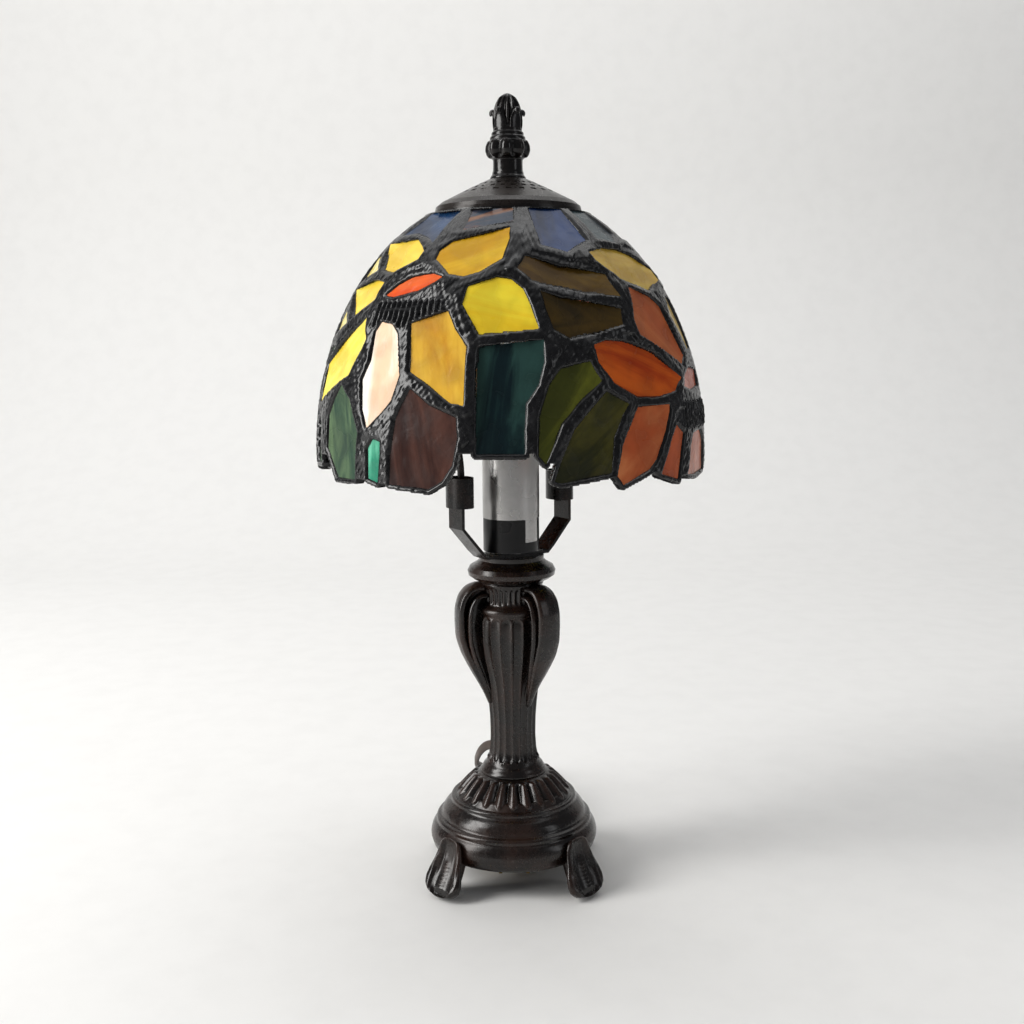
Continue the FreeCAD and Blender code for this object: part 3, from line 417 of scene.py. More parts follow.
def finish_materials():
    """Make the finishes of everything but the panes, keyed by the record's slots."""
    c, made = colours(), {}

    # a casting's finish rubs its heights and paints shade into its hollows, both read from the relief that its mesh
    # carries
    def casting(name, base, worn, wear, rough, scale, metallic, gloss=0.3):
        material, _, _ = start_material(name + "_finish", Metallic=metallic, Specular_IOR_Level=gloss)
        made[name] = use_group(material, "worn", 0.3, 0.00012, Base=rgba(base), Worn=rgba(worn),
                               Scale=scale, Wear=wear, Rough=rough)

    def plain(name, base, rough, metallic=0.0, drift=0.2, bump=0.12, scale=700.0, **more):
        material, _, _ = start_material(name + "_finish", Metallic=metallic, **more)
        made[name] = use_group(material, "moulded", bump, 0.0002, Base=rgba(base), Rough=rough,
                               Drift=drift, Scale=scale)

    casting("bronze", c.bronze, c.bronze_worn, 0.7, 0.24, 55.0, 0.1, 0.5)
    casting("gunmetal", c.gunmetal, c.bronze_worn, 0.12, 0.18, 80.0, 0.1, 0.36)
    casting("graphite", c.graphite, (0.025, 0.018, 0.014), 0.45, 0.26, 70.0, 0.15, 0.3)
    casting("harp_black", c.gunmetal, c.bronze_worn, 0.35, 0.24, 90.0, 0.1, 0.3)
    casting("solder", c.patina, c.bright_solder, 0.35, 0.22, 150.0, 0.05, 0.4)
    plain("steel", (0.45, 0.45, 0.44), 0.3, 1.0)
    plain("brass", (0.60, 0.42, 0.17), 0.28, 1.0)
    plain("ceramic_white", (0.78, 0.76, 0.72), 0.4)
    plain("black_plastic", c.plastic, 0.32, Specular_IOR_Level=0.3)
    plain("foil", c.foil, 0.27, 0.9, 0.35, 0.2, 160.0)
    plain("filament", (0.35, 0.33, 0.3), 0.4, 0.8)
    plain("clear_glass", (0.93, 0.95, 0.96), 0.03, 0.0, 0.05, 0.03, 60.0, Transmission_Weight=0.9, IOR=1.45)
    plain("cord_brown", c.cord, 0.4, 0.0, 0.35, 0.25, 420.0, Specular_IOR_Level=0.4)
    return made


def dress(target, material):
    """Give an object one material."""
    target.data.materials.clear()
    target.data.materials.append(material)


def finish(name):
    """Return a finish, making all of them the first time."""
    if not FINISHES:
        FINISHES.update(finish_materials())
    return FINISHES[name]


def place_piece(piece, body, slot, *nodes):
    """Set a piece's finish, the body that it rides on, and the nodes that it stands for."""
    dress(piece, finish(slot))
    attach(piece, body)
    if nodes:
        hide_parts(*nodes)
    return piece


# ---------------------------------------------------------------- foot

DOME_OUTER = [(15.2, 48.6), (16.0, 48.2), (18.4, 46.9), (22.2, 43.2), (25.2, 39.8), (26.6, 38.0),
              (27.0, 37.3), (28.0, 37.9), (29.0, 37.5), (29.4, 36.8), (29.1, 36.0), (29.4, 35.3),
              (31.2, 33.9), (32.9, 31.8), (33.7, 29.8), (33.8, 28.8), (34.4, 28.3), (35.6, 28.2),
              (36.3, 27.3), (36.3, 26.3), (36.2, 25.6), (37.2, 24.8), (38.4, 22.8), (39.0, 20.4),
              (39.0, 18.4), (38.5, 17.0), (38.3, 16.3), (37.9, 15.0), (37.0, 14.0)]
DOME_INNER = [(34.6, 14.0), (34.8, 18.4), (32.6, 24.4), (27.8, 31.4), (21.4, 37.6), (14.6, 42.4),
              (5.4, 43.0), (5.4, 48.0), (6.0, 48.6), (14.0, 48.6)]
LEAF_ROWS = [(0.4, 0.0), (3.8, 0.4), (5.6, 1.6), (6.8, 4.0), (7.4, 7.0), (8.6, 11.5), (10.2, 16.0),
             (10.9, 19.5), (10.2, 22.8), (7.6, 25.2), (4.0, 26.3), (0.4, 26.8)]
LEAF_TOP = (39.6, 26.2)
LEAF_SLOPE = math.radians(20.0)
FOOT_ANGLES = (45.0, 135.0, 225.0, 315.0)


def dome_relief(angle, r, z):
    """Raise rounded reeds, (0.5 + 0.5 cos n a)^0.5 high, between the collar and the plain ring.

    Each reed's lower end is round: its window shifts down by up to 2.2 mm along its middle.
    """
    crest = 0.5 + 0.5 * np.cos(sizes().reed_count * angle)
    window = ease(z, 40.4 - 2.2 * crest, 41.3 - 2.2 * crest) * (1 - ease(z, 46.8, 48.0)) * (r > 16.5)
    return (crest ** 0.5 - 0.62) * sizes().reed_depth / MM * window


def leaf_part(degrees):
    """Shape one foot's leaf: sections like an ellipse, u = w cos p and v = t sin p, down its slope.

    The front is dished by 1 - u^2 inside a raised rim, and has a serrated rib down its middle.
    """
    rows = smooth_line(LEAF_ROWS, 0.4, 3)
    half, down = rows[:, :1], rows[:, 1:]
    p = np.linspace(0, 2 * np.pi, 72, endpoint=False)[None, :]
    u = np.sign(np.cos(p)) * np.abs(np.cos(p)) ** 0.75
    front = np.clip(np.sin(p), 0, 1)
    thick = 2.3 * np.sqrt(np.clip(half / 10.9, 0, 1)) * (1.0 + 0.6 * ease(down, 14.0, 25.0))
    dish = -2.3 * (1 - ease(np.abs(u), 0.40, 0.84)) * ease(half, 3.0, 7.0) * front ** 0.3
    saw = np.abs((down * 0.62) % 1.0 - 0.5) * 2.0
    rib = 1.1 * np.exp(-(u * half / 1.1) ** 2) * ease(down, 9.0, 13.0) * (1 - ease(down, 22.0, 25.0))
    rib = rib * (0.55 + 0.45 * saw) * front ** 0.5
    veins = 0.18 * np.cos(u * half * 2.6) * ease(half, 4.0, 7.0) * (np.abs(u) < 0.9) * front
    v = thick * np.sign(np.sin(p)) * np.abs(np.sin(p)) ** 0.8 + dish + rib + veins
    path = np.stack([LEAF_TOP[0] + down[:, 0] * math.sin(LEAF_SLOPE), np.zeros(len(down)),
                     LEAF_TOP[1] - down[:, 0] * math.cos(LEAF_SLOPE)], axis=1)
    path[:, 0] += 2.0 * (1 - ease(down[:, 0], 0.0, 9.0)) * 0.5 - 1.2
    side = np.tile([0.0, 1.0, 0.0], (len(path), 1))
    lift = np.tile([math.cos(LEAF_SLOPE), 0.0, math.sin(LEAF_SLOPE)], (len(path), 1))
    points, faces = sweep(path, side, lift, np.stack([u * half, v], axis=-1))
    points[:, 2] = np.maximum(points[:, 2], 0.0)
    return turn_about_z(points, degrees), faces, closed_rows(dish * 0.5 + rib + veins, p.shape[1])


def leg_part(degrees):
    """Shape the leg behind a leaf: an oval, 4.4 by 4 mm, carried down from the dome to the toe."""
    path = smooth_line([(35.2, 0, 21.5), (36.6, 0, 15.0), (39.4, 0, 8.4), (42.6, 0, 3.6), (44.0, 0, 1.6)],
                       0.8, 2)
    p = np.linspace(0, 2 * np.pi, 28, endpoint=False)[None, :]
    along = np.linspace(0, 1, len(path))[:, None]
    section = np.stack([(4.5 + 0.7 * along) * np.cos(p), (4.4 - 0.8 * along) * np.sin(p)], axis=-1)
    side = np.tile([0.0, 1.0, 0.0], (len(path), 1))
    lift = np.tile([0.86, 0.0, 0.5], (len(path), 1))
    points, faces = sweep(path, side, lift, section)
    points[:, 2] = np.maximum(points[:, 2], 0.0)
    return turn_about_z(points, degrees), faces, closed_rows(np.zeros((len(path), 1)), p.shape[1])


class LAMP_OT_foot(bpy.types.Operator):
    """Build the reeded dome of the foot and its four leaf feet"""
    bl_idname = "lamp.foot"
    bl_label = "Foot"

    def execute(self, context):
        dome = lathe("foot_dome", DOME_OUTER, DOME_INNER, 486, dome_relief, 0.42)
        place_piece(dome, LAMP, "bronze", "foot_casting")
        points, faces, field = join([make(a) for a in FOOT_ANGLES for make in (leaf_part, leg_part)])
        feet = put_mesh("foot_leaves", points * MM, faces, fields={"relief": field})
        place_piece(feet, LAMP, "bronze")
        return {"FINISHED"}


# ---------------------------------------------------------------- column

COLUMN_OUTER = [(15.3, 48.6), (15.6, 49.4), (15.1, 50.3), (14.2, 50.8), (14.3, 51.6), (13.6, 52.4),
                (12.6, 53.2), (12.2, 54.6), (11.2, 56.8), (10.6, 59.0), (10.2, 66.0), (10.4, 75.0),
                (11.0, 82.0), (12.1, 91.5), (13.7, 98.8), (15.2, 105.0), (16.2, 112.0), (16.4, 119.0),
                (16.1, 122.6), (15.4, 124.4), (16.2, 125.0), (16.5, 126.2), (16.2, 127.4),
                (15.0, 128.2), (13.4, 129.0), (13.0, 131.0), (13.2, 135.5), (14.2, 137.4),
                (14.7, 138.2), (14.8, 139.0)]
COLUMN_INNER = [(5.4, 139.0), (5.4, 100.0), (5.4, 48.6)]
STRAP_LINE = [(10.2, 82.0), (12.6, 88.0), (15.6, 94.6), (19.0, 101.2), (22.0, 107.4), (24.0, 114.0),
              (24.4, 121.0), (24.3, 127.0), (23.0, 132.0), (20.2, 135.6), (16.6, 137.0), (13.6, 136.8)]
STRAP_ANGLES = (193.0, 313.0, 73.0)


def column_relief(angle, r, z):
    """Cut round flutes, sqrt(1 - x^2) deep across each, with round ends, and reed the neck above."""
    x = (sizes().flute_count * angle / (2 * np.pi)) % 1.0 * 2 - 1
    bow = np.sqrt(np.clip(1 - x * x, 0, 1))
    flutes = ease(z, 57.2 - 2.4 * bow, 58.4 - 2.4 * bow) * (1 - ease(z, 121.0 + 1.8 * bow, 122.2 + 1.8 * bow))
    deep = sizes().flute_depth / MM * ease(r, 8.0, 16.0) ** 0.35
    neck = 0.32 * np.cos(34 * angle) * ease(z, 129.6, 130.6) * (1 - ease(z, 136.0, 137.0))
    return 0.25 * (flutes > 0) - deep * 1.25 * bow * flutes + neck


def strap_part(degrees, nested):
    """Bend a strap: its section is a flat oval with rolled edges, u = w cos p and v = t sin p.

    Its half width w grows from the lower end. A nested strap lies inside the outer one, drawn in
    towards the column and a little wider, so that its edges show as a second curve at the sides.
    """
    line = [(r - nested * 3.6 * (r - 9) / 15, 0.0, z - nested * (z - 84) * 0.07) for r, z in STRAP_LINE]
    path = smooth_line(line, 0.7, 4)
    along = np.linspace(0, 1, len(path))[:, None]
    tangent = np.gradient(path, axis=0)
    tangent /= np.linalg.norm(tangent, axis=1)[:, None]
    lift = np.stack([tangent[:, 2], np.zeros(len(path)), -tangent[:, 0]], axis=1)
    side = np.tile([0.0, 1.0, 0.0], (len(path), 1))
    p = np.linspace(0, 2 * np.pi, 48, endpoint=False)[None, :]
    u = np.sign(np.cos(p)) * np.abs(np.cos(p)) ** 0.7
    width = 1.6 + 4.6 * ease(along, 0.0, 0.5) - 0.6 * ease(along, 0.8, 1.0) + 0.9 * nested * ease(along, 0.2, 0.6)
    thick = 1.5 - 0.5 * nested + 0.2 * np.sin(np.pi * along)
    roll = 0.35 * np.exp(-((np.abs(u) - 0.88) / 0.12) ** 2)
    crown = 0.7 * (1 - u * u)
    front = np.clip(np.sin(p), 0, 1) ** 0.5
    v = thick * np.sign(np.sin(p)) * np.abs(np.sin(p)) ** 0.75 + (roll + crown) * front * ease(along, 0.05, 0.3)
    points, faces = sweep(path, side, lift, np.stack([u * width, v], axis=-1))
    return turn_about_z(points, degrees), faces, closed_rows((roll - 0.2) * front + 0 * along, p.shape[1])


def web_part(degrees):
    """Fill between a strap and the column: the strip between two lines, 5 mm thick.

    A row runs from the column's line to the strap's, and the strip closes round both faces.
    """
    strap = smooth_line(STRAP_LINE, 1.2, 3)
    core = np.stack([np.interp(strap[:, 1], [82, 91.5, 105, 119, 130, 138], [9.5, 11, 14, 15, 12, 12.6]),
                     strap[:, 1]], axis=1)
    across = np.array([0.0, 0.5, 1.0, 1.0, 0.5, 0.0])[None, :, None]
    flat = core[:, None] * (1 - across) + (strap[:, None] - [1.2, 0.0]) * across
    half = np.array([-2.2, -2.6, -2.6, 2.6, 2.6, 2.2])[None, :, None] + 0 * flat[..., :1]
    points = np.concatenate([flat[..., :1], half, flat[..., 1:]], axis=-1)
    ends = [np.repeat(points[k].mean(axis=0)[None, None], 6, axis=1) for k in (0, -1)]
    points = np.concatenate([ends[0], points, ends[1]])
    faces = grid_faces(points.shape[0], 6)
    # the web's relief of -0.6 is no height: it darkens the whole web towards near-black, painted shade between the
    # strap and the column
    return turn_about_z(points.reshape(-1, 3), degrees), faces, np.full(points.size // 3, -0.6)


class LAMP_OT_column(bpy.types.Operator):
    """Build the fluted column and its three scroll straps"""
    bl_idname = "lamp.column"
    bl_label = "Column"

    def execute(self, context):
        vase = lathe("column_vase", COLUMN_OUTER, COLUMN_INNER, 400, column_relief, 0.6)
        place_piece(vase, LAMP, "bronze", "column_casting")
        parts = [strap_part(a, nested) for a in STRAP_ANGLES for nested in (0, 1)]
        parts += [web_part(a) for a in STRAP_ANGLES]
        points, faces, field = join(parts)
        place_piece(put_mesh("column_straps", points * MM, faces, fields={"relief": field}), LAMP, "bronze")
        return {"FINISHED"}


# ---------------------------------------------------------------- finial

FINIAL_OUTER = [(7.9, 318.4), (8.0, 318.9), (7.4, 319.7), (6.9, 320.3), (7.0, 320.9), (6.6, 321.8),
                (6.5, 324.0), (6.5, 326.6), (7.0, 327.1), (8.6, 328.6), (9.3, 330.6), (9.1, 332.6),
                (8.2, 334.4), (7.6, 334.9), (7.9, 335.6), (7.6, 336.4), (6.9, 336.8), (7.2, 337.5),
                (6.9, 338.3), (6.2, 338.7), (6.4, 339.4), (6.1, 340.2), (5.6, 341.0), (5.7, 343.0),
                (5.9, 345.0), (5.6, 347.6), (4.7, 350.4), (3.2, 353.0), (1.6, 354.5), (0.0, 355.0)]
FINIAL_INNER = [(0.0, 330.8), (3.2, 330.8), (3.2, 325.0), (3.2, 318.4)]


def finial_relief(angle, r, z):
    """Swell eight lobes round the knop, (0.5 + 0.5 cos 8 a)^0.7 high, and rib the bud's sides."""
    lobe = 0.5 + 0.5 * np.cos(8 * angle + 0.6)
    knop = ease(z, 327.0, 328.2) * (1 - ease(z, 333.2 + 1.0 * lobe, 334.6 + 1.0 * lobe))
    bud = ease(z, 341.0, 343.5) * (1 - ease(z, 352.4, 354.6))
    return (lobe ** 0.6 - 0.62) * 1.7 * knop + 0.5 * np.cos(12 * angle) * bud


def calyx_part(degrees):
    """Curl a leaf's tip out of the bud: an oval bar whose path turns outwards and down at its end."""
    path = smooth_line([(5.3, 0, 338.4), (5.7, 0, 341.4), (5.8, 0, 344.2), (6.0, 0, 346.2), (6.5, 0, 347.3),
                        (7.0, 0, 347.2), (7.1, 0, 346.5), (6.8, 0, 346.1)], 0.3, 2)
    tangent = np.gradient(path, axis=0)
    tangent /= np.linalg.norm(tangent, axis=1)[:, None]
    side = np.tile([0.0, 1.0, 0.0], (len(path), 1))
    lift = np.cross(tangent, side)
    along = np.linspace(0, 1, len(path))[:, None]
    p = np.linspace(0, 2 * np.pi, 20, endpoint=False)[None, :]
    wide = 3.3 - 1.6 * ease(along, 0.4, 0.85) - 0.5 * ease(along, 0.0, 0.04) + 0.2 * np.sin(np.pi * along)
    deep = 0.7 + 0.6 * ease(along, 0.6, 0.9)
    ridge = 0.22 * np.cos(3 * p) ** 2
    points, faces = sweep(path, side, lift, np.stack([wide * np.cos(p), deep * np.sin(p) + 0 * ridge], axis=-1))
    return turn_about_z(points, degrees), faces, closed_rows(0.4 * np.sin(p) + 0 * along, 20)


class LAMP_OT_finial(bpy.types.Operator):
    """Build the bud-shaped finial with its lobed knop and curled leaf tips"""
    bl_idname = "lamp.finial"
    bl_label = "Finial"

    def execute(self, context):
        bud = lathe("finial_bud", FINIAL_OUTER, FINIAL_INNER, 240, finial_relief, 0.3)
        place_piece(bud, "finial", "gunmetal", "finial")
        points, faces, field = join([calyx_part(a) for a in (20.0, 92.0, 164.0, 236.0, 308.0)])
        place_piece(put_mesh("finial_leaves", points * MM, faces, fields={"relief": field}),
                    "finial", "gunmetal")
        return {"FINISHED"}


# ---------------------------------------------------------------- shade

# each pane's angle from the front towards +X, its height in millimetres, and its two colours
PANE_TINTS = {
    "glass_blue_crown": [(-48, 296, (0.006, 0.038, 0.11), (0.003, 0.014, 0.045)),
                         (25, 295, (0.004, 0.036, 0.15), (0.002, 0.012, 0.045)),
                         (80, 296, (0.012, 0.04, 0.10), (0.006, 0.02, 0.06)),
                         (104, 297, (0.012, 0.05, 0.14), (0.006, 0.02, 0.06))],
    "glass_grey_crown": [(-10, 298, (0.22, 0.10, 0.05), (0.022, 0.036, 0.06)),
                         (53, 296, (0.055, 0.085, 0.095), (0.025, 0.04, 0.05))],
    "glass_yellow_petals": [(-13, 283, (0.80, 0.52, 0.03), (0.55, 0.28, 0.008)),
                            (-50, 284, (0.88, 0.68, 0.10), (0.75, 0.47, 0.03)),
                            (-62, 267, (0.88, 0.70, 0.08), (0.80, 0.52, 0.03)),
                            (-60, 243, (0.90, 0.78, 0.18), (0.80, 0.58, 0.04))],
    "glass_gold_petals": [(-20, 241, (0.74, 0.45, 0.05), (0.52, 0.24, 0.02)),
                          (-4, 262, (0.88, 0.72, 0.05), (0.80, 0.52, 0.02)),
                          (55, 277, (0.80, 0.55, 0.08), (0.62, 0.36, 0.04))],
    "glass_cream_petals": [(-74, 279, (0.88, 0.80, 0.36), (0.80, 0.62, 0.14)),
                           (-80, 259, (0.88, 0.80, 0.34), (0.80, 0.62, 0.14)),
                           (-40, 237, (0.92, 0.88, 0.80), (0.80, 0.55, 0.36)),
                           (76, 254, (0.78, 0.55, 0.18), (0.62, 0.40, 0.10)),
                           (91, 240, (0.80, 0.66, 0.42), (0.66, 0.46, 0.25))],
    "glass_flower_eyes": [(-34, 270, (0.78, 0.13, 0.02), (0.62, 0.06, 0.012)),
                          (69, 231, (0.70, 0.20, 0.11), (0.52, 0.11, 0.06))],
    "glass_flame_petal": [(40, 236, (0.70, 0.13, 0.014), (0.42, 0.040, 0.005))],
    "glass_orange_petals": [(54, 254, (0.62, 0.20, 0.07), (0.48, 0.11, 0.035)),
                            (40, 208, (0.70, 0.24, 0.09), (0.50, 0.10, 0.03)),
                            (52, 201, (0.62, 0.15, 0.06), (0.46, 0.09, 0.03))],
    "glass_salmon_petals": [(68, 200, (0.72, 0.30, 0.20), (0.55, 0.16, 0.09)),
                            (89, 217, (0.76, 0.42, 0.32), (0.60, 0.25, 0.17))],
    "glass_brown_leaves": [(21, 272, (0.24, 0.14, 0.016), (0.08, 0.042, 0.008)),
                           (24, 257, (0.085, 0.05, 0.010), (0.026, 0.018, 0.006))],
    "glass_olive_leaves": [(15, 221, (0.15, 0.16, 0.018), (0.055, 0.062, 0.010)),
                           (24, 208, (0.075, 0.068, 0.012), (0.022, 0.024, 0.008)),
                           (87, 279, (0.05, 0.06, 0.016), (0.02, 0.028, 0.01))],
    "glass_sage_border": [(-80, 235, (0.12, 0.19, 0.12), (0.022, 0.045, 0.034)),
                          (-76, 208, (0.12, 0.19, 0.12), (0.022, 0.045, 0.034)),
                          (-55, 208, (0.11, 0.17, 0.09), (0.035, 0.065, 0.045))],
    "glass_emerald": [(-39, 201, (0.12, 0.50, 0.32), (0.015, 0.22, 0.13)),
                      (87, 199, (0.10, 0.34, 0.22), (0.015, 0.14, 0.09))],
    "glass_maroon": [(-24, 208, (0.090, 0.038, 0.028), (0.028, 0.012, 0.010))],
    "glass_forest": [(-1, 226, (0.020, 0.052, 0.046), (0.004, 0.012, 0.015))],
}


def welded(name):
    """Weld a node's loose triangles and find its panes.

    Points that agree to a micrometre become one. Each point starts with its own number and takes
    the lowest number in its triangles until none changes, so that each pane ends with one number.
    """
    mesh = frame["nodes"][name].data
    places = np.empty(len(mesh.vertices) * 3)
    mesh.vertices.foreach_get("co", places)
    mesh.calc_loop_triangles()
    triangles = np.empty(len(mesh.loop_triangles) * 3, int)
    mesh.loop_triangles.foreach_get("vertices", triangles)
    _, first, index = np.unique(np.round(places.reshape(-1, 3) * 1e6).astype(np.int64), axis=0,
                                return_index=True, return_inverse=True)
    points, triangles = places.reshape(-1, 3)[first], index.reshape(-1)[triangles].reshape(-1, 3)
    number, before = np.arange(len(points)), None
    while before is None or (number != before).any():
        before = number.copy()
        np.minimum.at(number, triangles.ravel(), number[triangles].min(axis=1).repeat(3))
    _, island = np.unique(number, return_inverse=True)
    return points, triangles, island.reshape(-1)


def front_angle(points):
    """Return the angle of points from the front towards +X, in degrees: atan2(x, -y)."""
    return np.degrees(np.arctan2(points[..., 0], -points[..., 1]))


def shell_radius(height):
    """Return the shade's radius at a height in metres: 85.4 mm below 200 mm, an ellipse above."""
    up = np.clip((np.asarray(height) - 0.200) / 0.1127, 0.0, 0.9999)
    return 0.0854 * np.sqrt(1.0 - up * up)


def pane_fields(name, points, island):
    """Give each pane its two colours and a map of its own, along and across its longest side.

    A pane takes the nearest entry's colours; the second half of the shade repeats the first,
    half a turn on. The map's axes are the first two axes of the spread of the pane's points.
    """
    count = island.max() + 1
    tints = PANE_TINTS[name]
    middle = np.stack([np.bincount(island, points[:, k], count) for k in range(3)], axis=1)
    middle /= np.bincount(island, minlength=count)[:, None]
    angle, height = front_angle(middle)[:, None], middle[:, 2:] * 1000
    wanted = np.array([t[:2] for t in tints], float)
    apart = np.abs((angle - wanted[None, :, 0] + 90) % 180 - 90)
    choice = (apart + np.abs(height - wanted[None, :, 1])).argmin(axis=1)
    light = np.array([t[2] for t in tints])[choice][island]
    dark = np.array([t[3] for t in tints])[choice][island]
    flat = np.zeros((len(points), 2))
    for pane in range(count):
        inside = island == pane
        spread_out = points[inside] - middle[pane]
        axes = np.linalg.svd(spread_out, full_matrices=False)[2]
        flat[inside] = spread_out @ axes[:2].T + 0.13 * pane
    return light, dark, flat[:, ::-1]


def glass_material(name, scale, contrast, turn):
    """Make one streaky glass, fed by the colours and the map that its panes carry."""
    material, tree, _ = start_material(name, IOR=1.5, Specular_IOR_Level=0.22)
    light = node(tree, "ShaderNodeAttribute", {"attribute_name": "light_tint"}).outputs["Color"]
    dark = node(tree, "ShaderNodeAttribute", {"attribute_name": "dark_tint"}).outputs["Color"]
    return use_group(material, "streak", 0.4, 0.001, Light=light, Dark=dark, Scale=scale,
                     Contrast=contrast, Turn=(0.0, 0.0, turn))


GLASS_LOOKS = {
    "glass_blue_crown": (70.0, 0.16, 0.4), "glass_grey_crown": (95.0, 0.10, 0.3),
    "glass_yellow_petals": (60.0, 0.22, 0.2), "glass_gold_petals": (75.0, 0.20, 0.3),
    "glass_cream_petals": (85.0, 0.12, 0.15), "glass_flower_eyes": (60.0, 0.20, 0.1),
    "glass_flame_petal": (90.0, 0.16, 0.2), "glass_orange_petals": (70.0, 0.20, 0.1),
    "glass_salmon_petals": (70.0, 0.20, 0.1), "glass_brown_leaves": (65.0, 0.14, 0.1),
    "glass_olive_leaves": (60.0, 0.12, 0.2), "glass_sage_border": (90.0, 0.14, 0.1),
    "glass_emerald": (80.0, 0.12, 0.1), "glass_maroon": (60.0, 0.16, 0.3),
    "glass_forest": (85.0, 0.12, 0.05),
}


class LAMP_OT_glass(bpy.types.Operator):
    """Give every pane of the shade its streaky glass"""
    bl_idname = "lamp.glass"
    bl_label = "Glass panes"

    def execute(self, context):
        for name, (scale, contrast, turn) in GLASS_LOOKS.items():
            points, triangles, island = welded(name)
            light, dark, flat = pane_fields(name, points, island)
            mesh = bpy.data.meshes.new(name.replace("glass_", "panes_"))
            mesh.from_pydata(points.tolist(), [], triangles.tolist())
            for label, values in (("light_tint", light), ("dark_tint", dark)):
                layer = mesh.attributes.new(label, "FLOAT_COLOR", "POINT")
                full = np.concatenate([values, np.ones((len(values), 1))], axis=1)
                layer.data.foreach_set("color", full.ravel())
            corners = np.empty(len(mesh.loops), int)
            mesh.loops.foreach_get("vertex_index", corners)
            mesh.uv_layers.new(name="pane").data.foreach_set("uv", flat[corners].ravel())
            piece = bpy.data.objects.new(mesh.name, mesh)
            context.scene.collection.objects.link(piece)
            dress(piece, glass_material(name, scale, contrast, turn))
            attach(piece, SHADE)
            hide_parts(name)
        return {"FINISHED"}


def pane_edges():
    """Return the edges of all panes' outer faces as start and end points.

    An outer face's triangles look away from the middle of the shade, and an edge of the outline
    belongs to only one of them.
    """
    edges = []
    for name in GLASS_LOOKS:
        points, triangles, _ = welded(name)
        a, b, c = (points[triangles[:, k]] for k in range(3))
        normal = np.cross(b - a, c - a)
        normal /= np.linalg.norm(normal, axis=1)[:, None] + 1e-15
        away = (a + b + c) / 3 - [0.0, 0.0, 0.190]
        away /= np.linalg.norm(away, axis=1)[:, None]
        outer = triangles[(normal * away).sum(axis=1) > 0.6]
        pairs = np.sort(np.concatenate([outer[:, [0, 1]], outer[:, [1, 2]], outer[:, [2, 0]]]), axis=1)
        unique, count = np.unique(pairs, axis=0, return_counts=True)
        edges.append(points[unique[count == 1]])
    return np.concatenate(edges)


def came_field(angles, heights):
    """Work out, on a grid over the shade, the distance to the nearest pane's edge.

    The distance is negative inside a pane. A point is inside when the edges below it, up the same
    angle, are odd in number. Also returns how far the panes nearby lie outside the shell.
    """
    edges = pane_edges()
    theta = front_angle(edges)
    theta[:, 1] += 360 * np.round((theta[:, 0] - theta[:, 1]) / 360)
    edges = np.concatenate([edges, edges, edges])
    theta = np.concatenate([theta - 360, theta, theta + 360])
    level = edges[..., 2]
    bulge = np.linalg.norm(edges[..., :2], axis=-1) - shell_radius(level)
    distance = np.zeros((len(angles), len(heights)))
    offset = np.zeros_like(distance)
    inside = np.zeros(distance.shape, bool)
    for start in range(0, len(angles), 24):
        band = angles[start:start + 24]
        near = (theta.max(axis=1) > band[0] - 14) & (theta.min(axis=1) < band[-1] + 14)
        t, z, b = theta[near], level[near], bulge[near]
        r = shell_radius(heights)
        here = np.radians(band)[:, None]
        grid = np.stack([r * np.sin(here), -r * np.cos(here), np.tile(heights, (len(band), 1))], axis=-1)
        ends = [np.stack([shell_radius(z[:, k]) * np.sin(np.radians(t[:, k])),
                          -shell_radius(z[:, k]) * np.cos(np.radians(t[:, k])), z[:, k]], axis=-1)
                for k in (0, 1)]
        along = ends[1] - ends[0]
        size = (along ** 2).sum(axis=1) + 1e-15
        share = np.clip((grid @ along.T - (ends[0] * along).sum(axis=1)) / size, 0, 1)
        foot = (grid ** 2).sum(axis=-1)[..., None] + share ** 2 * size + (ends[0] ** 2).sum(axis=1)
        foot = foot - 2 * grid @ ends[0].T + 2 * share * (ends[0] * along).sum(axis=1) - 2 * share * (grid @ along.T)
        gap = np.sqrt(np.clip(foot, 0, None))
        distance[start:start + 24] = gap.min(axis=-1)
        weight = np.exp(-(gap / 0.0022) ** 2) + 1e-12
        offset[start:start + 24] = (weight * b.mean(axis=1)).sum(axis=-1) / weight.sum(axis=-1)
        low, high = t.min(axis=1), t.max(axis=1)
        spans = (band[:, None] >= low) & (band[:, None] < high)
        part = (band[:, None] - t[:, 0]) / (t[:, 1] - t[:, 0] + 1e-12)
        crossing = np.where(spans, z[:, 0] + part * (z[:, 1] - z[:, 0]), 9.0)
        inside[start:start + 24] = (crossing[:, None, :] < heights[None, :, None]).sum(axis=-1) % 2 == 1
    return np.where(inside, -distance, distance), offset, inside


def lumps(angles, heights):
    """Return the solder's small waves: a sum of sines of the place, with uneven wavelengths."""
    x = np.radians(angles)[:, None] * 85.0
    z = heights[None, :] * 1000
    waves = [(1.31, 0.62, 0.4), (-0.83, 1.27, 1.9), (0.47, -1.71, 2.6), (2.27, 0.93, 4.4),
             (1.9, -2.3, 0.7), (-2.9, 1.7, 3.3)]
    return sum(np.sin(a * x + b * z + c + 1.3 * np.sin(0.21 * x + 0.17 * z)) for a, b, c in waves) / 6


# where black ribbed bands lie under the flowers' eyes: angles, heights in millimetres
RIBBED = [(-48.0, -20.0, 253.5, 264.5), (56.0, 80.0, 211.0, 223.0)]


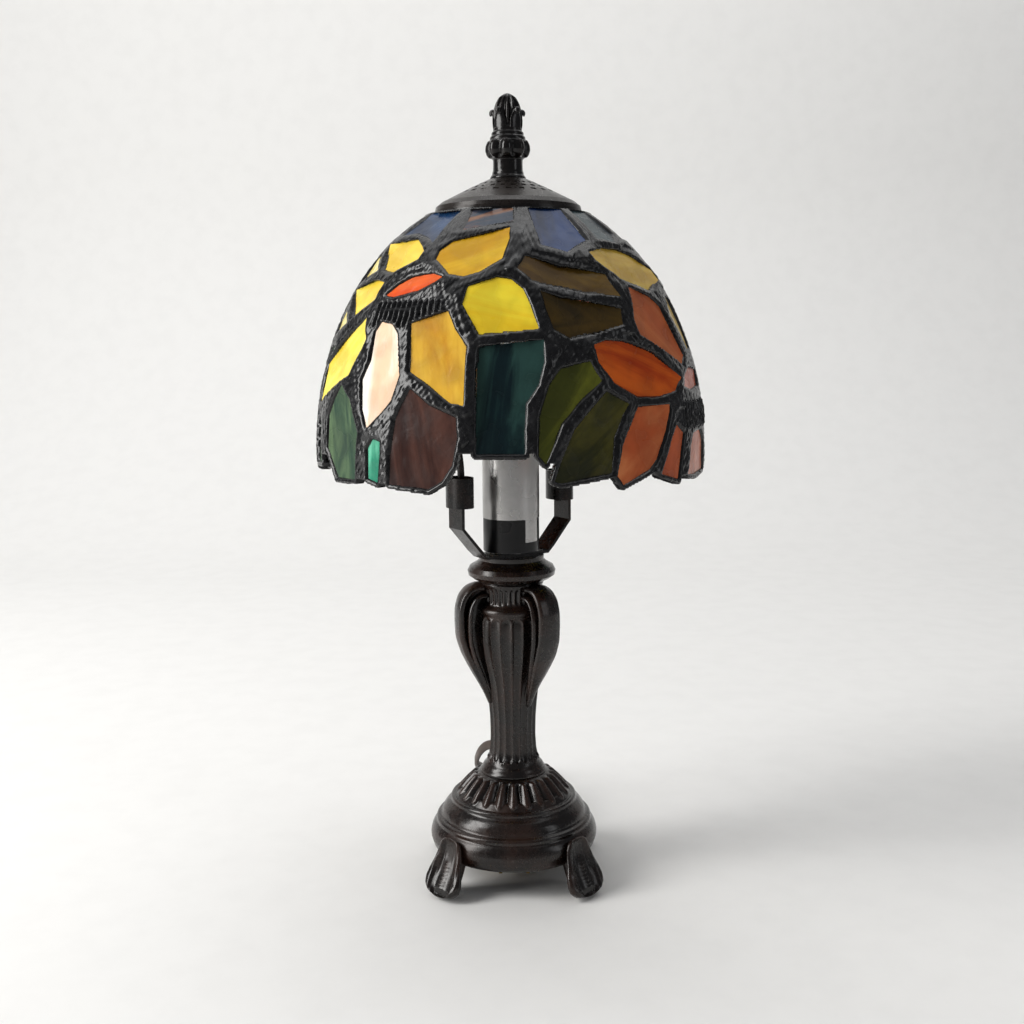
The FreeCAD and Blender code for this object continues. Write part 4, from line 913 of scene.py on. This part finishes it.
def came_sheets(angles, heights):
    """Shape the solder: a round bead W wide and H high, H sqrt(1 - (1 - e / W)^2), e from its foot.

    Beyond its top the bead stays level, and it sinks past its foot into the glass. Ribs, a cosine
    of the place along them, stand on the bands under the flowers' eyes. The hem is the lowest glass
    at each angle, lowered and then raised over 3.4 degrees each way, so that narrow gaps are filled.
    """
    distance, offset, inside = came_field(angles, heights)
    lap, tall, wide = sizes().solder_overlap, sizes().solder_height, 0.0017
    foot = distance + lap
    bead = tall * np.sqrt(np.clip(1 - (1 - np.clip(foot, 0, wide) / wide) ** 2, 0, 1))
    bead = np.where(foot < 0, 1.6 * foot, bead)
    soft = ease(foot, 0.0, 0.0016)
    bead = bead + soft * 0.00030 * lumps(angles, heights)
    half_turn = (angles[:, None] + 90) % 180 - 90 + 0 * heights
    level = heights[None, :] * 1000 + 0 * angles[:, None]
    for a0, a1, z0, z1 in RIBBED:
        turned = half_turn if a0 < 0 else angles[:, None] % 180 + 0 * heights
        window = ease(turned, a0, a0 + 1.5) * (1 - ease(turned, a1 - 1.5, a1))
        window = window * ease(level, z0, z0 + 1.0) * (1 - ease(level, z1 - 1.0, z1)) * ease(foot, 0.0010, 0.0016)
        bead = bead + window * 0.0009 * np.cos(turned * 2 * math.pi / 2.1 + 0.5 * np.sin(0.7 * level))
    lowest = np.where(inside.any(axis=1), heights[np.argmax(inside, axis=1)], heights[-1])
    for pick in (np.minimum, np.maximum):
        lowest = pick.reduce([np.roll(lowest, k) for k in range(-9, 10)])
    below = heights[None, :] < lowest[:, None]
    rim = np.clip((distance - 0.0006) / 0.0013, 0, 1.2)
    bead = np.where(below, bead - 0.0009 * rim ** 2, bead)
    keep = (foot > -0.0007) & ~(below & (distance > 0.0019))
    outer = shell_radius(heights)[None, :] + offset + bead
    inner = shell_radius(heights)[None, :] + offset - 0.0030 - 0.55 * bead
    return outer, np.minimum(inner, outer - 0.0004), keep, soft * 0.6 * lumps(angles, heights) + bead / tall * 0.5


def came_piece(name, angles, heights, outer, inner, keep, field):
    """Join the outer and inner sheets over the kept cells, and wall every open edge between them.

    An edge that only one kept cell has is open.
    """
    n, m = keep.shape
    theta = np.radians(angles)[:, None]
    sheets = [np.stack([r * np.sin(theta), -r * np.cos(theta), np.broadcast_to(heights, r.shape)], axis=-1)
              for r in (outer, inner)]
    cells = grid_faces(n, m, wrap_columns=False)
    cells = cells[keep.ravel()[cells].all(axis=1)]
    edges = np.concatenate([cells[:, [k, (k + 1) % 4]] for k in range(4)])
    code = np.sort(edges, axis=1) @ [n * m, 1]
    _, where, count = np.unique(code, return_inverse=True, return_counts=True)
    loose = edges[count[where.reshape(-1)] == 1]
    shift = n * m
    walls = np.stack([loose[:, 1], loose[:, 0], loose[:, 0] + shift, loose[:, 1] + shift], axis=1)
    faces = np.concatenate([cells, cells[:, ::-1] + shift, walls])
    points = np.concatenate([s.reshape(-1, 3) for s in sheets])
    used, index = np.unique(faces, return_inverse=True)
    relief = np.concatenate([field.ravel(), field.ravel()])[used]
    return put_mesh(name, points[used], index.reshape(faces.shape), fields={"relief": relief})


class LAMP_OT_came(bpy.types.Operator):
    """Run the black solder lines between the panes, in a front and a back half"""
    bl_idname = "lamp.came"
    bl_label = "Solder lines"

    def execute(self, context):
        heights = np.linspace(0.1865, 0.3027, 206)
        angles = np.linspace(-90.0, 270.0, 961)
        outer, inner, keep, field = came_sheets(angles, heights)
        for name, part in (("came_front", slice(0, 481)), ("came_back", slice(480, 961))):
            piece = came_piece(name, angles[part], heights, outer[part], inner[part], keep[part], field[part])
            if name == "came_front":
                place_piece(piece, SHADE, "solder", "lead_came")
            else:
                place_piece(piece, SHADE, "solder")
        return {"FINISHED"}


# ---------------------------------------------------------------- cord

LEAD_ROUTE = [(0.0, 0.0420, 0.0304), (-0.0008, 0.0516, 0.0334), (-0.0040, 0.0618, 0.0356),
              (-0.0090, 0.0718, 0.0358), (-0.0142, 0.0812, 0.0326), (-0.0180, 0.0896, 0.0266),
              (-0.0202, 0.0978, 0.0198), (-0.0210, 0.1060, 0.0134), (-0.0188, 0.1136, 0.0082),
              (-0.0134, 0.1192, 0.0052), (-0.0064, 0.1222, 0.0038)]
SWITCH_ROUTE = [(0.0138, 0.1152, 0.0082), (0.0128, 0.1084, 0.0106), (0.0096, 0.1020, 0.0132),
                (0.0052, 0.0962, 0.0154), (0.0015, 0.0904, 0.0166), (0.0, 0.0840, 0.0168)]
PLUG_ROUTE = [(0.0, 0.0504, 0.0168), (0.0003, 0.0440, 0.0153), (0.0001, 0.0366, 0.0100),
              (-0.0002, 0.0306, 0.0069), (0.0, 0.0250, 0.0060)]
HANK_NEAR, HANK_FAR = 0.056, 0.105
# the radius and the height of each turn of the hank
HANK_TURNS = [(0.0174, 0.00245), (0.0148, 0.00245), (0.0122, 0.00245), (0.0096, 0.00245),
              (0.0096, 0.00735), (0.0122, 0.00735), (0.0148, 0.00735), (0.0174, 0.00735), (0.0174, 0.0078)]


def hank_points():
    """Return the points of the hank's turns, sixteen to a turn, in order along the cord.

    A turn is a half circle round each end, (r cos a, end + r sin a), with straight runs between. Over
    its last three points it eases to the next turn's radius and height.
    """
    run = np.linspace(HANK_FAR, HANK_NEAR, 4)
    ends = np.concatenate([np.full(2, HANK_FAR), run, np.full(5, HANK_NEAR), run[2:0:-1], np.full(3, HANK_FAR)])
    turn = np.radians([72, 36, 0, 0, 0, 0, -36, -72, -108, -144, -180, 180, 180, 180, 144, 108])
    step = np.concatenate([np.zeros(13), [0.15, 0.5, 0.85]])[None, :, None]
    turns = np.array(HANK_TURNS)
    now = turns[:-1, None] * (1 - step) + turns[1:, None] * step
    points = np.stack([now[..., 0] * np.cos(turn), ends + now[..., 0] * np.sin(turn), now[..., 1]], axis=-1)
    return points.reshape(-1, 3)


def spline_points(route):
    """Return the points of a smooth line that has the route's points as its control points."""
    line = bpy.data.curves.new("cord_line", "CURVE")
    line.dimensions = "3D"
    spline = line.splines.new("NURBS")
    spline.points.add(len(route) - 1)
    spline.points.foreach_set("co", np.concatenate([route, np.ones((len(route), 1))], axis=1).ravel())
    spline.order_u = 3
    spline.use_endpoint_u = True
    spline.resolution_u = 7
    holder = bpy.data.objects.new("cord_line", line)
    mesh = bpy.data.meshes.new_from_object(holder)
    points = np.empty(len(mesh.vertices) * 3)
    mesh.vertices.foreach_get("co", points)
    bpy.data.objects.remove(holder)
    bpy.data.curves.remove(line)
    bpy.data.meshes.remove(mesh)
    return points.reshape(-1, 3)


class LAMP_OT_cord(bpy.types.Operator):
    """Lay the flat twin cord from the foot through its hank and its switch to the plug"""
    bl_idname = "lamp.cord"
    bl_label = "Cord"

    def execute(self, context):
        lead_out = [(HANK_TURNS[-1][0] * math.cos(1.29), HANK_FAR + HANK_TURNS[-1][0] * math.sin(1.29), 0.0078)]
        route = np.concatenate([LEAD_ROUTE, hank_points(), lead_out, SWITCH_ROUTE, PLUG_ROUTE])
        path = spline_points(route)
        keep = np.concatenate([[True], np.linalg.norm(np.diff(path, axis=0), axis=1) > 1e-6])
        path = path[keep]
        along = np.concatenate([[0], np.cumsum(np.linalg.norm(np.diff(path, axis=0), axis=1))])
        tangent = np.gradient(path, along, axis=0)
        tangent /= np.linalg.norm(tangent, axis=1)[:, None]
        level = np.cross(tangent, [0.0, 0.0, 1.0])
        level /= np.linalg.norm(level, axis=1)[:, None]
        upright = np.cross(level, tangent)
        # on edge from the foot through the hank, flat at the switch and the plug
        edge = 0.5 * np.pi * (1 - ease(along, along[-1] - 0.102, along[-1] - 0.070))
        wide = np.cos(edge)[:, None] * level + np.sin(edge)[:, None] * upright
        thin = np.cross(tangent, wide)
        p = np.linspace(0, 2 * np.pi, 18, endpoint=False)[None, :]
        across = sizes().cord_width / 2 * np.sign(np.cos(p)) * np.abs(np.cos(p)) ** 0.85
        waist = 1 - 0.30 * np.exp(-(across / 0.00055) ** 2)
        section = np.stack([across, sizes().cord_thickness / 2 * np.sin(p) * waist], axis=-1)
        section = np.repeat(section, len(path), axis=0)
        points, faces = sweep(path, wide, thin, section)
        cord = put_mesh("twin_cord", points, faces)
        place_piece(cord, LAMP, "cord_brown", "supply_cord", "switch_cord", "plug_cord", "cord_hank")
        return {"FINISHED"}


# ---------------------------------------------------------------- kept nodes and the stage

class LAMP_OT_fittings(bpy.types.Operator):
    """Give the cap, socket, harp, bulb, switch, plug and hardware their finishes"""
    bl_idname = "lamp.fittings"
    bl_label = "Fittings"

    def execute(self, context):
        for part in frame["record"]["subparts"]:
            if part["node"] in GLASS_LOOKS:
                continue
            dress(frame["nodes"][part["node"]], finish(part["material_slot"]))
        return {"FINISHED"}


def add_light(name, place, aim, wide, high, power, tint=(1.0, 1.0, 1.0)):
    """Hang a soft oblong light at a place, turned to its aim."""
    light = bpy.data.lights.new(name, "AREA")
    light.shape, light.size, light.size_y, light.energy, light.color = "RECTANGLE", wide, high, power, tint
    holder = bpy.data.objects.new(name, light)
    bpy.context.scene.collection.objects.link(holder)
    ahead = np.subtract(aim, place)
    yaw = math.atan2(ahead[1], ahead[0])
    pitch = math.atan2(math.hypot(ahead[0], ahead[1]), -ahead[2])
    turn = Matrix.Rotation(yaw - math.pi / 2, 4, "Z") @ Matrix.Rotation(pitch, 4, "X")
    holder.matrix_world = Matrix.Translation(place) @ turn


class LAMP_OT_stage(bpy.types.Operator):
    """Set the pale floor, the soft lights and the camera"""
    bl_idname = "lamp.stage"
    bl_label = "Stage"

    def execute(self, context):
        half = sizes().floor_half
        bend = np.linspace(0, math.pi / 2, 24)
        y = np.concatenate([[-2.0, -1.0, 0.0], 0.75 + 0.5 * np.sin(bend), [1.25, 1.25]])
        z = np.concatenate([[0.0, 0.0, 0.0], 0.5 - 0.5 * np.cos(bend), [1.2, 2.4]])
        x = np.linspace(-half, half, 9)[None, :] + 0 * y[:, None]
        points = np.stack([x, y[:, None] + 0 * x, z[:, None] + 0 * x], axis=-1).reshape(-1, 3)
        mesh = bpy.data.meshes.new("floor")
        mesh.from_pydata(points.tolist(), [], grid_faces(len(y), 9, wrap_columns=False)[:, ::-1].tolist())
        mesh.polygons.foreach_set("use_smooth", np.ones(len(mesh.polygons), bool))
        floor = bpy.data.objects.new("floor", mesh)
        context.scene.collection.objects.link(floor)
        material, _, _ = start_material("pale_floor", Specular_IOR_Level=0.2)
        dress(floor, use_group(material, "moulded", 0.03, 0.0005, Base=rgba(colours().floor), Rough=0.7,
                               Drift=0.06, Scale=120.0))
        add_light("window", (-1.2, -0.4, 0.75), (0.0, 0.0, 0.25), 0.55, 1.3, 24.0, (1.0, 0.99, 0.97))
        add_light("fill", (1.3, -0.7, 0.6), (0.0, 0.0, 0.18), 0.35, 0.9, 1.6, (0.97, 0.98, 1.0))
        add_light("overhead", (0.0, 0.3, 1.9), (0.0, 0.2, 0.0), 2.4, 2.0, 11.0)
        add_light("backdrop", (0.0, 0.5, 2.0), (0.0, 1.25, 1.0), 2.0, 1.0, 10.0)
        world = context.scene.world or bpy.data.worlds.new("World")
        context.scene.world = world
        world.use_nodes = True
        tree = world.node_tree
        soft, pale = tree.nodes["Background"], tree.nodes.new("ShaderNodeBackground")
        soft.inputs["Color"].default_value, soft.inputs["Strength"].default_value = (0.93, 0.95, 1.0, 1.0), 0.16
        pale.inputs["Color"].default_value, pale.inputs["Strength"].default_value = (0.80, 0.81, 0.82, 1.0), 1.0
        # the lamp mirrors a dim room, and the open room beyond the backdrop looks as pale as it
        seen = node(tree, "ShaderNodeMixShader", i0=node(tree, "ShaderNodeLightPath").outputs["Is Camera Ray"],
                    i1=soft.outputs[0], i2=pale.outputs[0])
        tree.links.new(seen.outputs[0], tree.nodes["World Output"].inputs["Surface"])
        view = bpy.data.cameras.new("camera")
        view.lens, view.sensor_width, view.clip_start = 42.19, 36.0, 0.01
        camera = bpy.data.objects.new("camera", view)
        context.scene.collection.objects.link(camera)
        turn = Matrix.Rotation(math.radians(82.0), 4, "X") @ Matrix.Rotation(math.radians(-0.517), 4, "Z")
        camera.matrix_world = Matrix.Translation((0.00045, -0.543, 0.247)) @ turn
        context.scene.camera = camera
        context.scene.view_settings.view_transform = "Standard"
        return {"FINISHED"}


OPERATORS = (LAMP_OT_cord, LAMP_OT_foot, LAMP_OT_column, LAMP_OT_finial, LAMP_OT_glass, LAMP_OT_came,
             LAMP_OT_fittings, LAMP_OT_stage)


class LAMP_PT_panel(bpy.types.Panel):
    """List the lamp's pieces, sizes and colours in the sidebar"""
    bl_label = "Leaded Glass Lamp"
    bl_idname = "LAMP_PT_panel"
    bl_space_type = "VIEW_3D"
    bl_region_type = "UI"
    bl_category = "Lamp"

    def draw(self, context):
        for operator in OPERATORS:
            self.layout.operator(operator.bl_idname)
        for group in (context.scene.lamp_sizes, context.scene.lamp_colours):
            for key in group.bl_rna.properties.keys():
                if key not in ("rna_type", "name"):
                    self.layout.prop(group, key)


def register():
    """Register the classes and add the lamp's sizes and colours to the scene."""
    for kind in (LampSizes, LampColours, *OPERATORS, LAMP_PT_panel):
        bpy.utils.register_class(kind)
    bpy.types.Scene.lamp_sizes = bpy.props.PointerProperty(type=LampSizes)
    bpy.types.Scene.lamp_colours = bpy.props.PointerProperty(type=LampColours)


def unregister():
    """Remove what register added."""
    del bpy.types.Scene.lamp_colours
    del bpy.types.Scene.lamp_sizes
    for kind in (LAMP_PT_panel, *reversed(OPERATORS), LampColours, LampSizes):
        bpy.utils.unregister_class(kind)


def main():
    register()
    for operator in OPERATORS:
        group, name = operator.bl_idname.split(".")
        getattr(getattr(bpy.ops, group), name)()


if __name__ == "__main__":
    main()
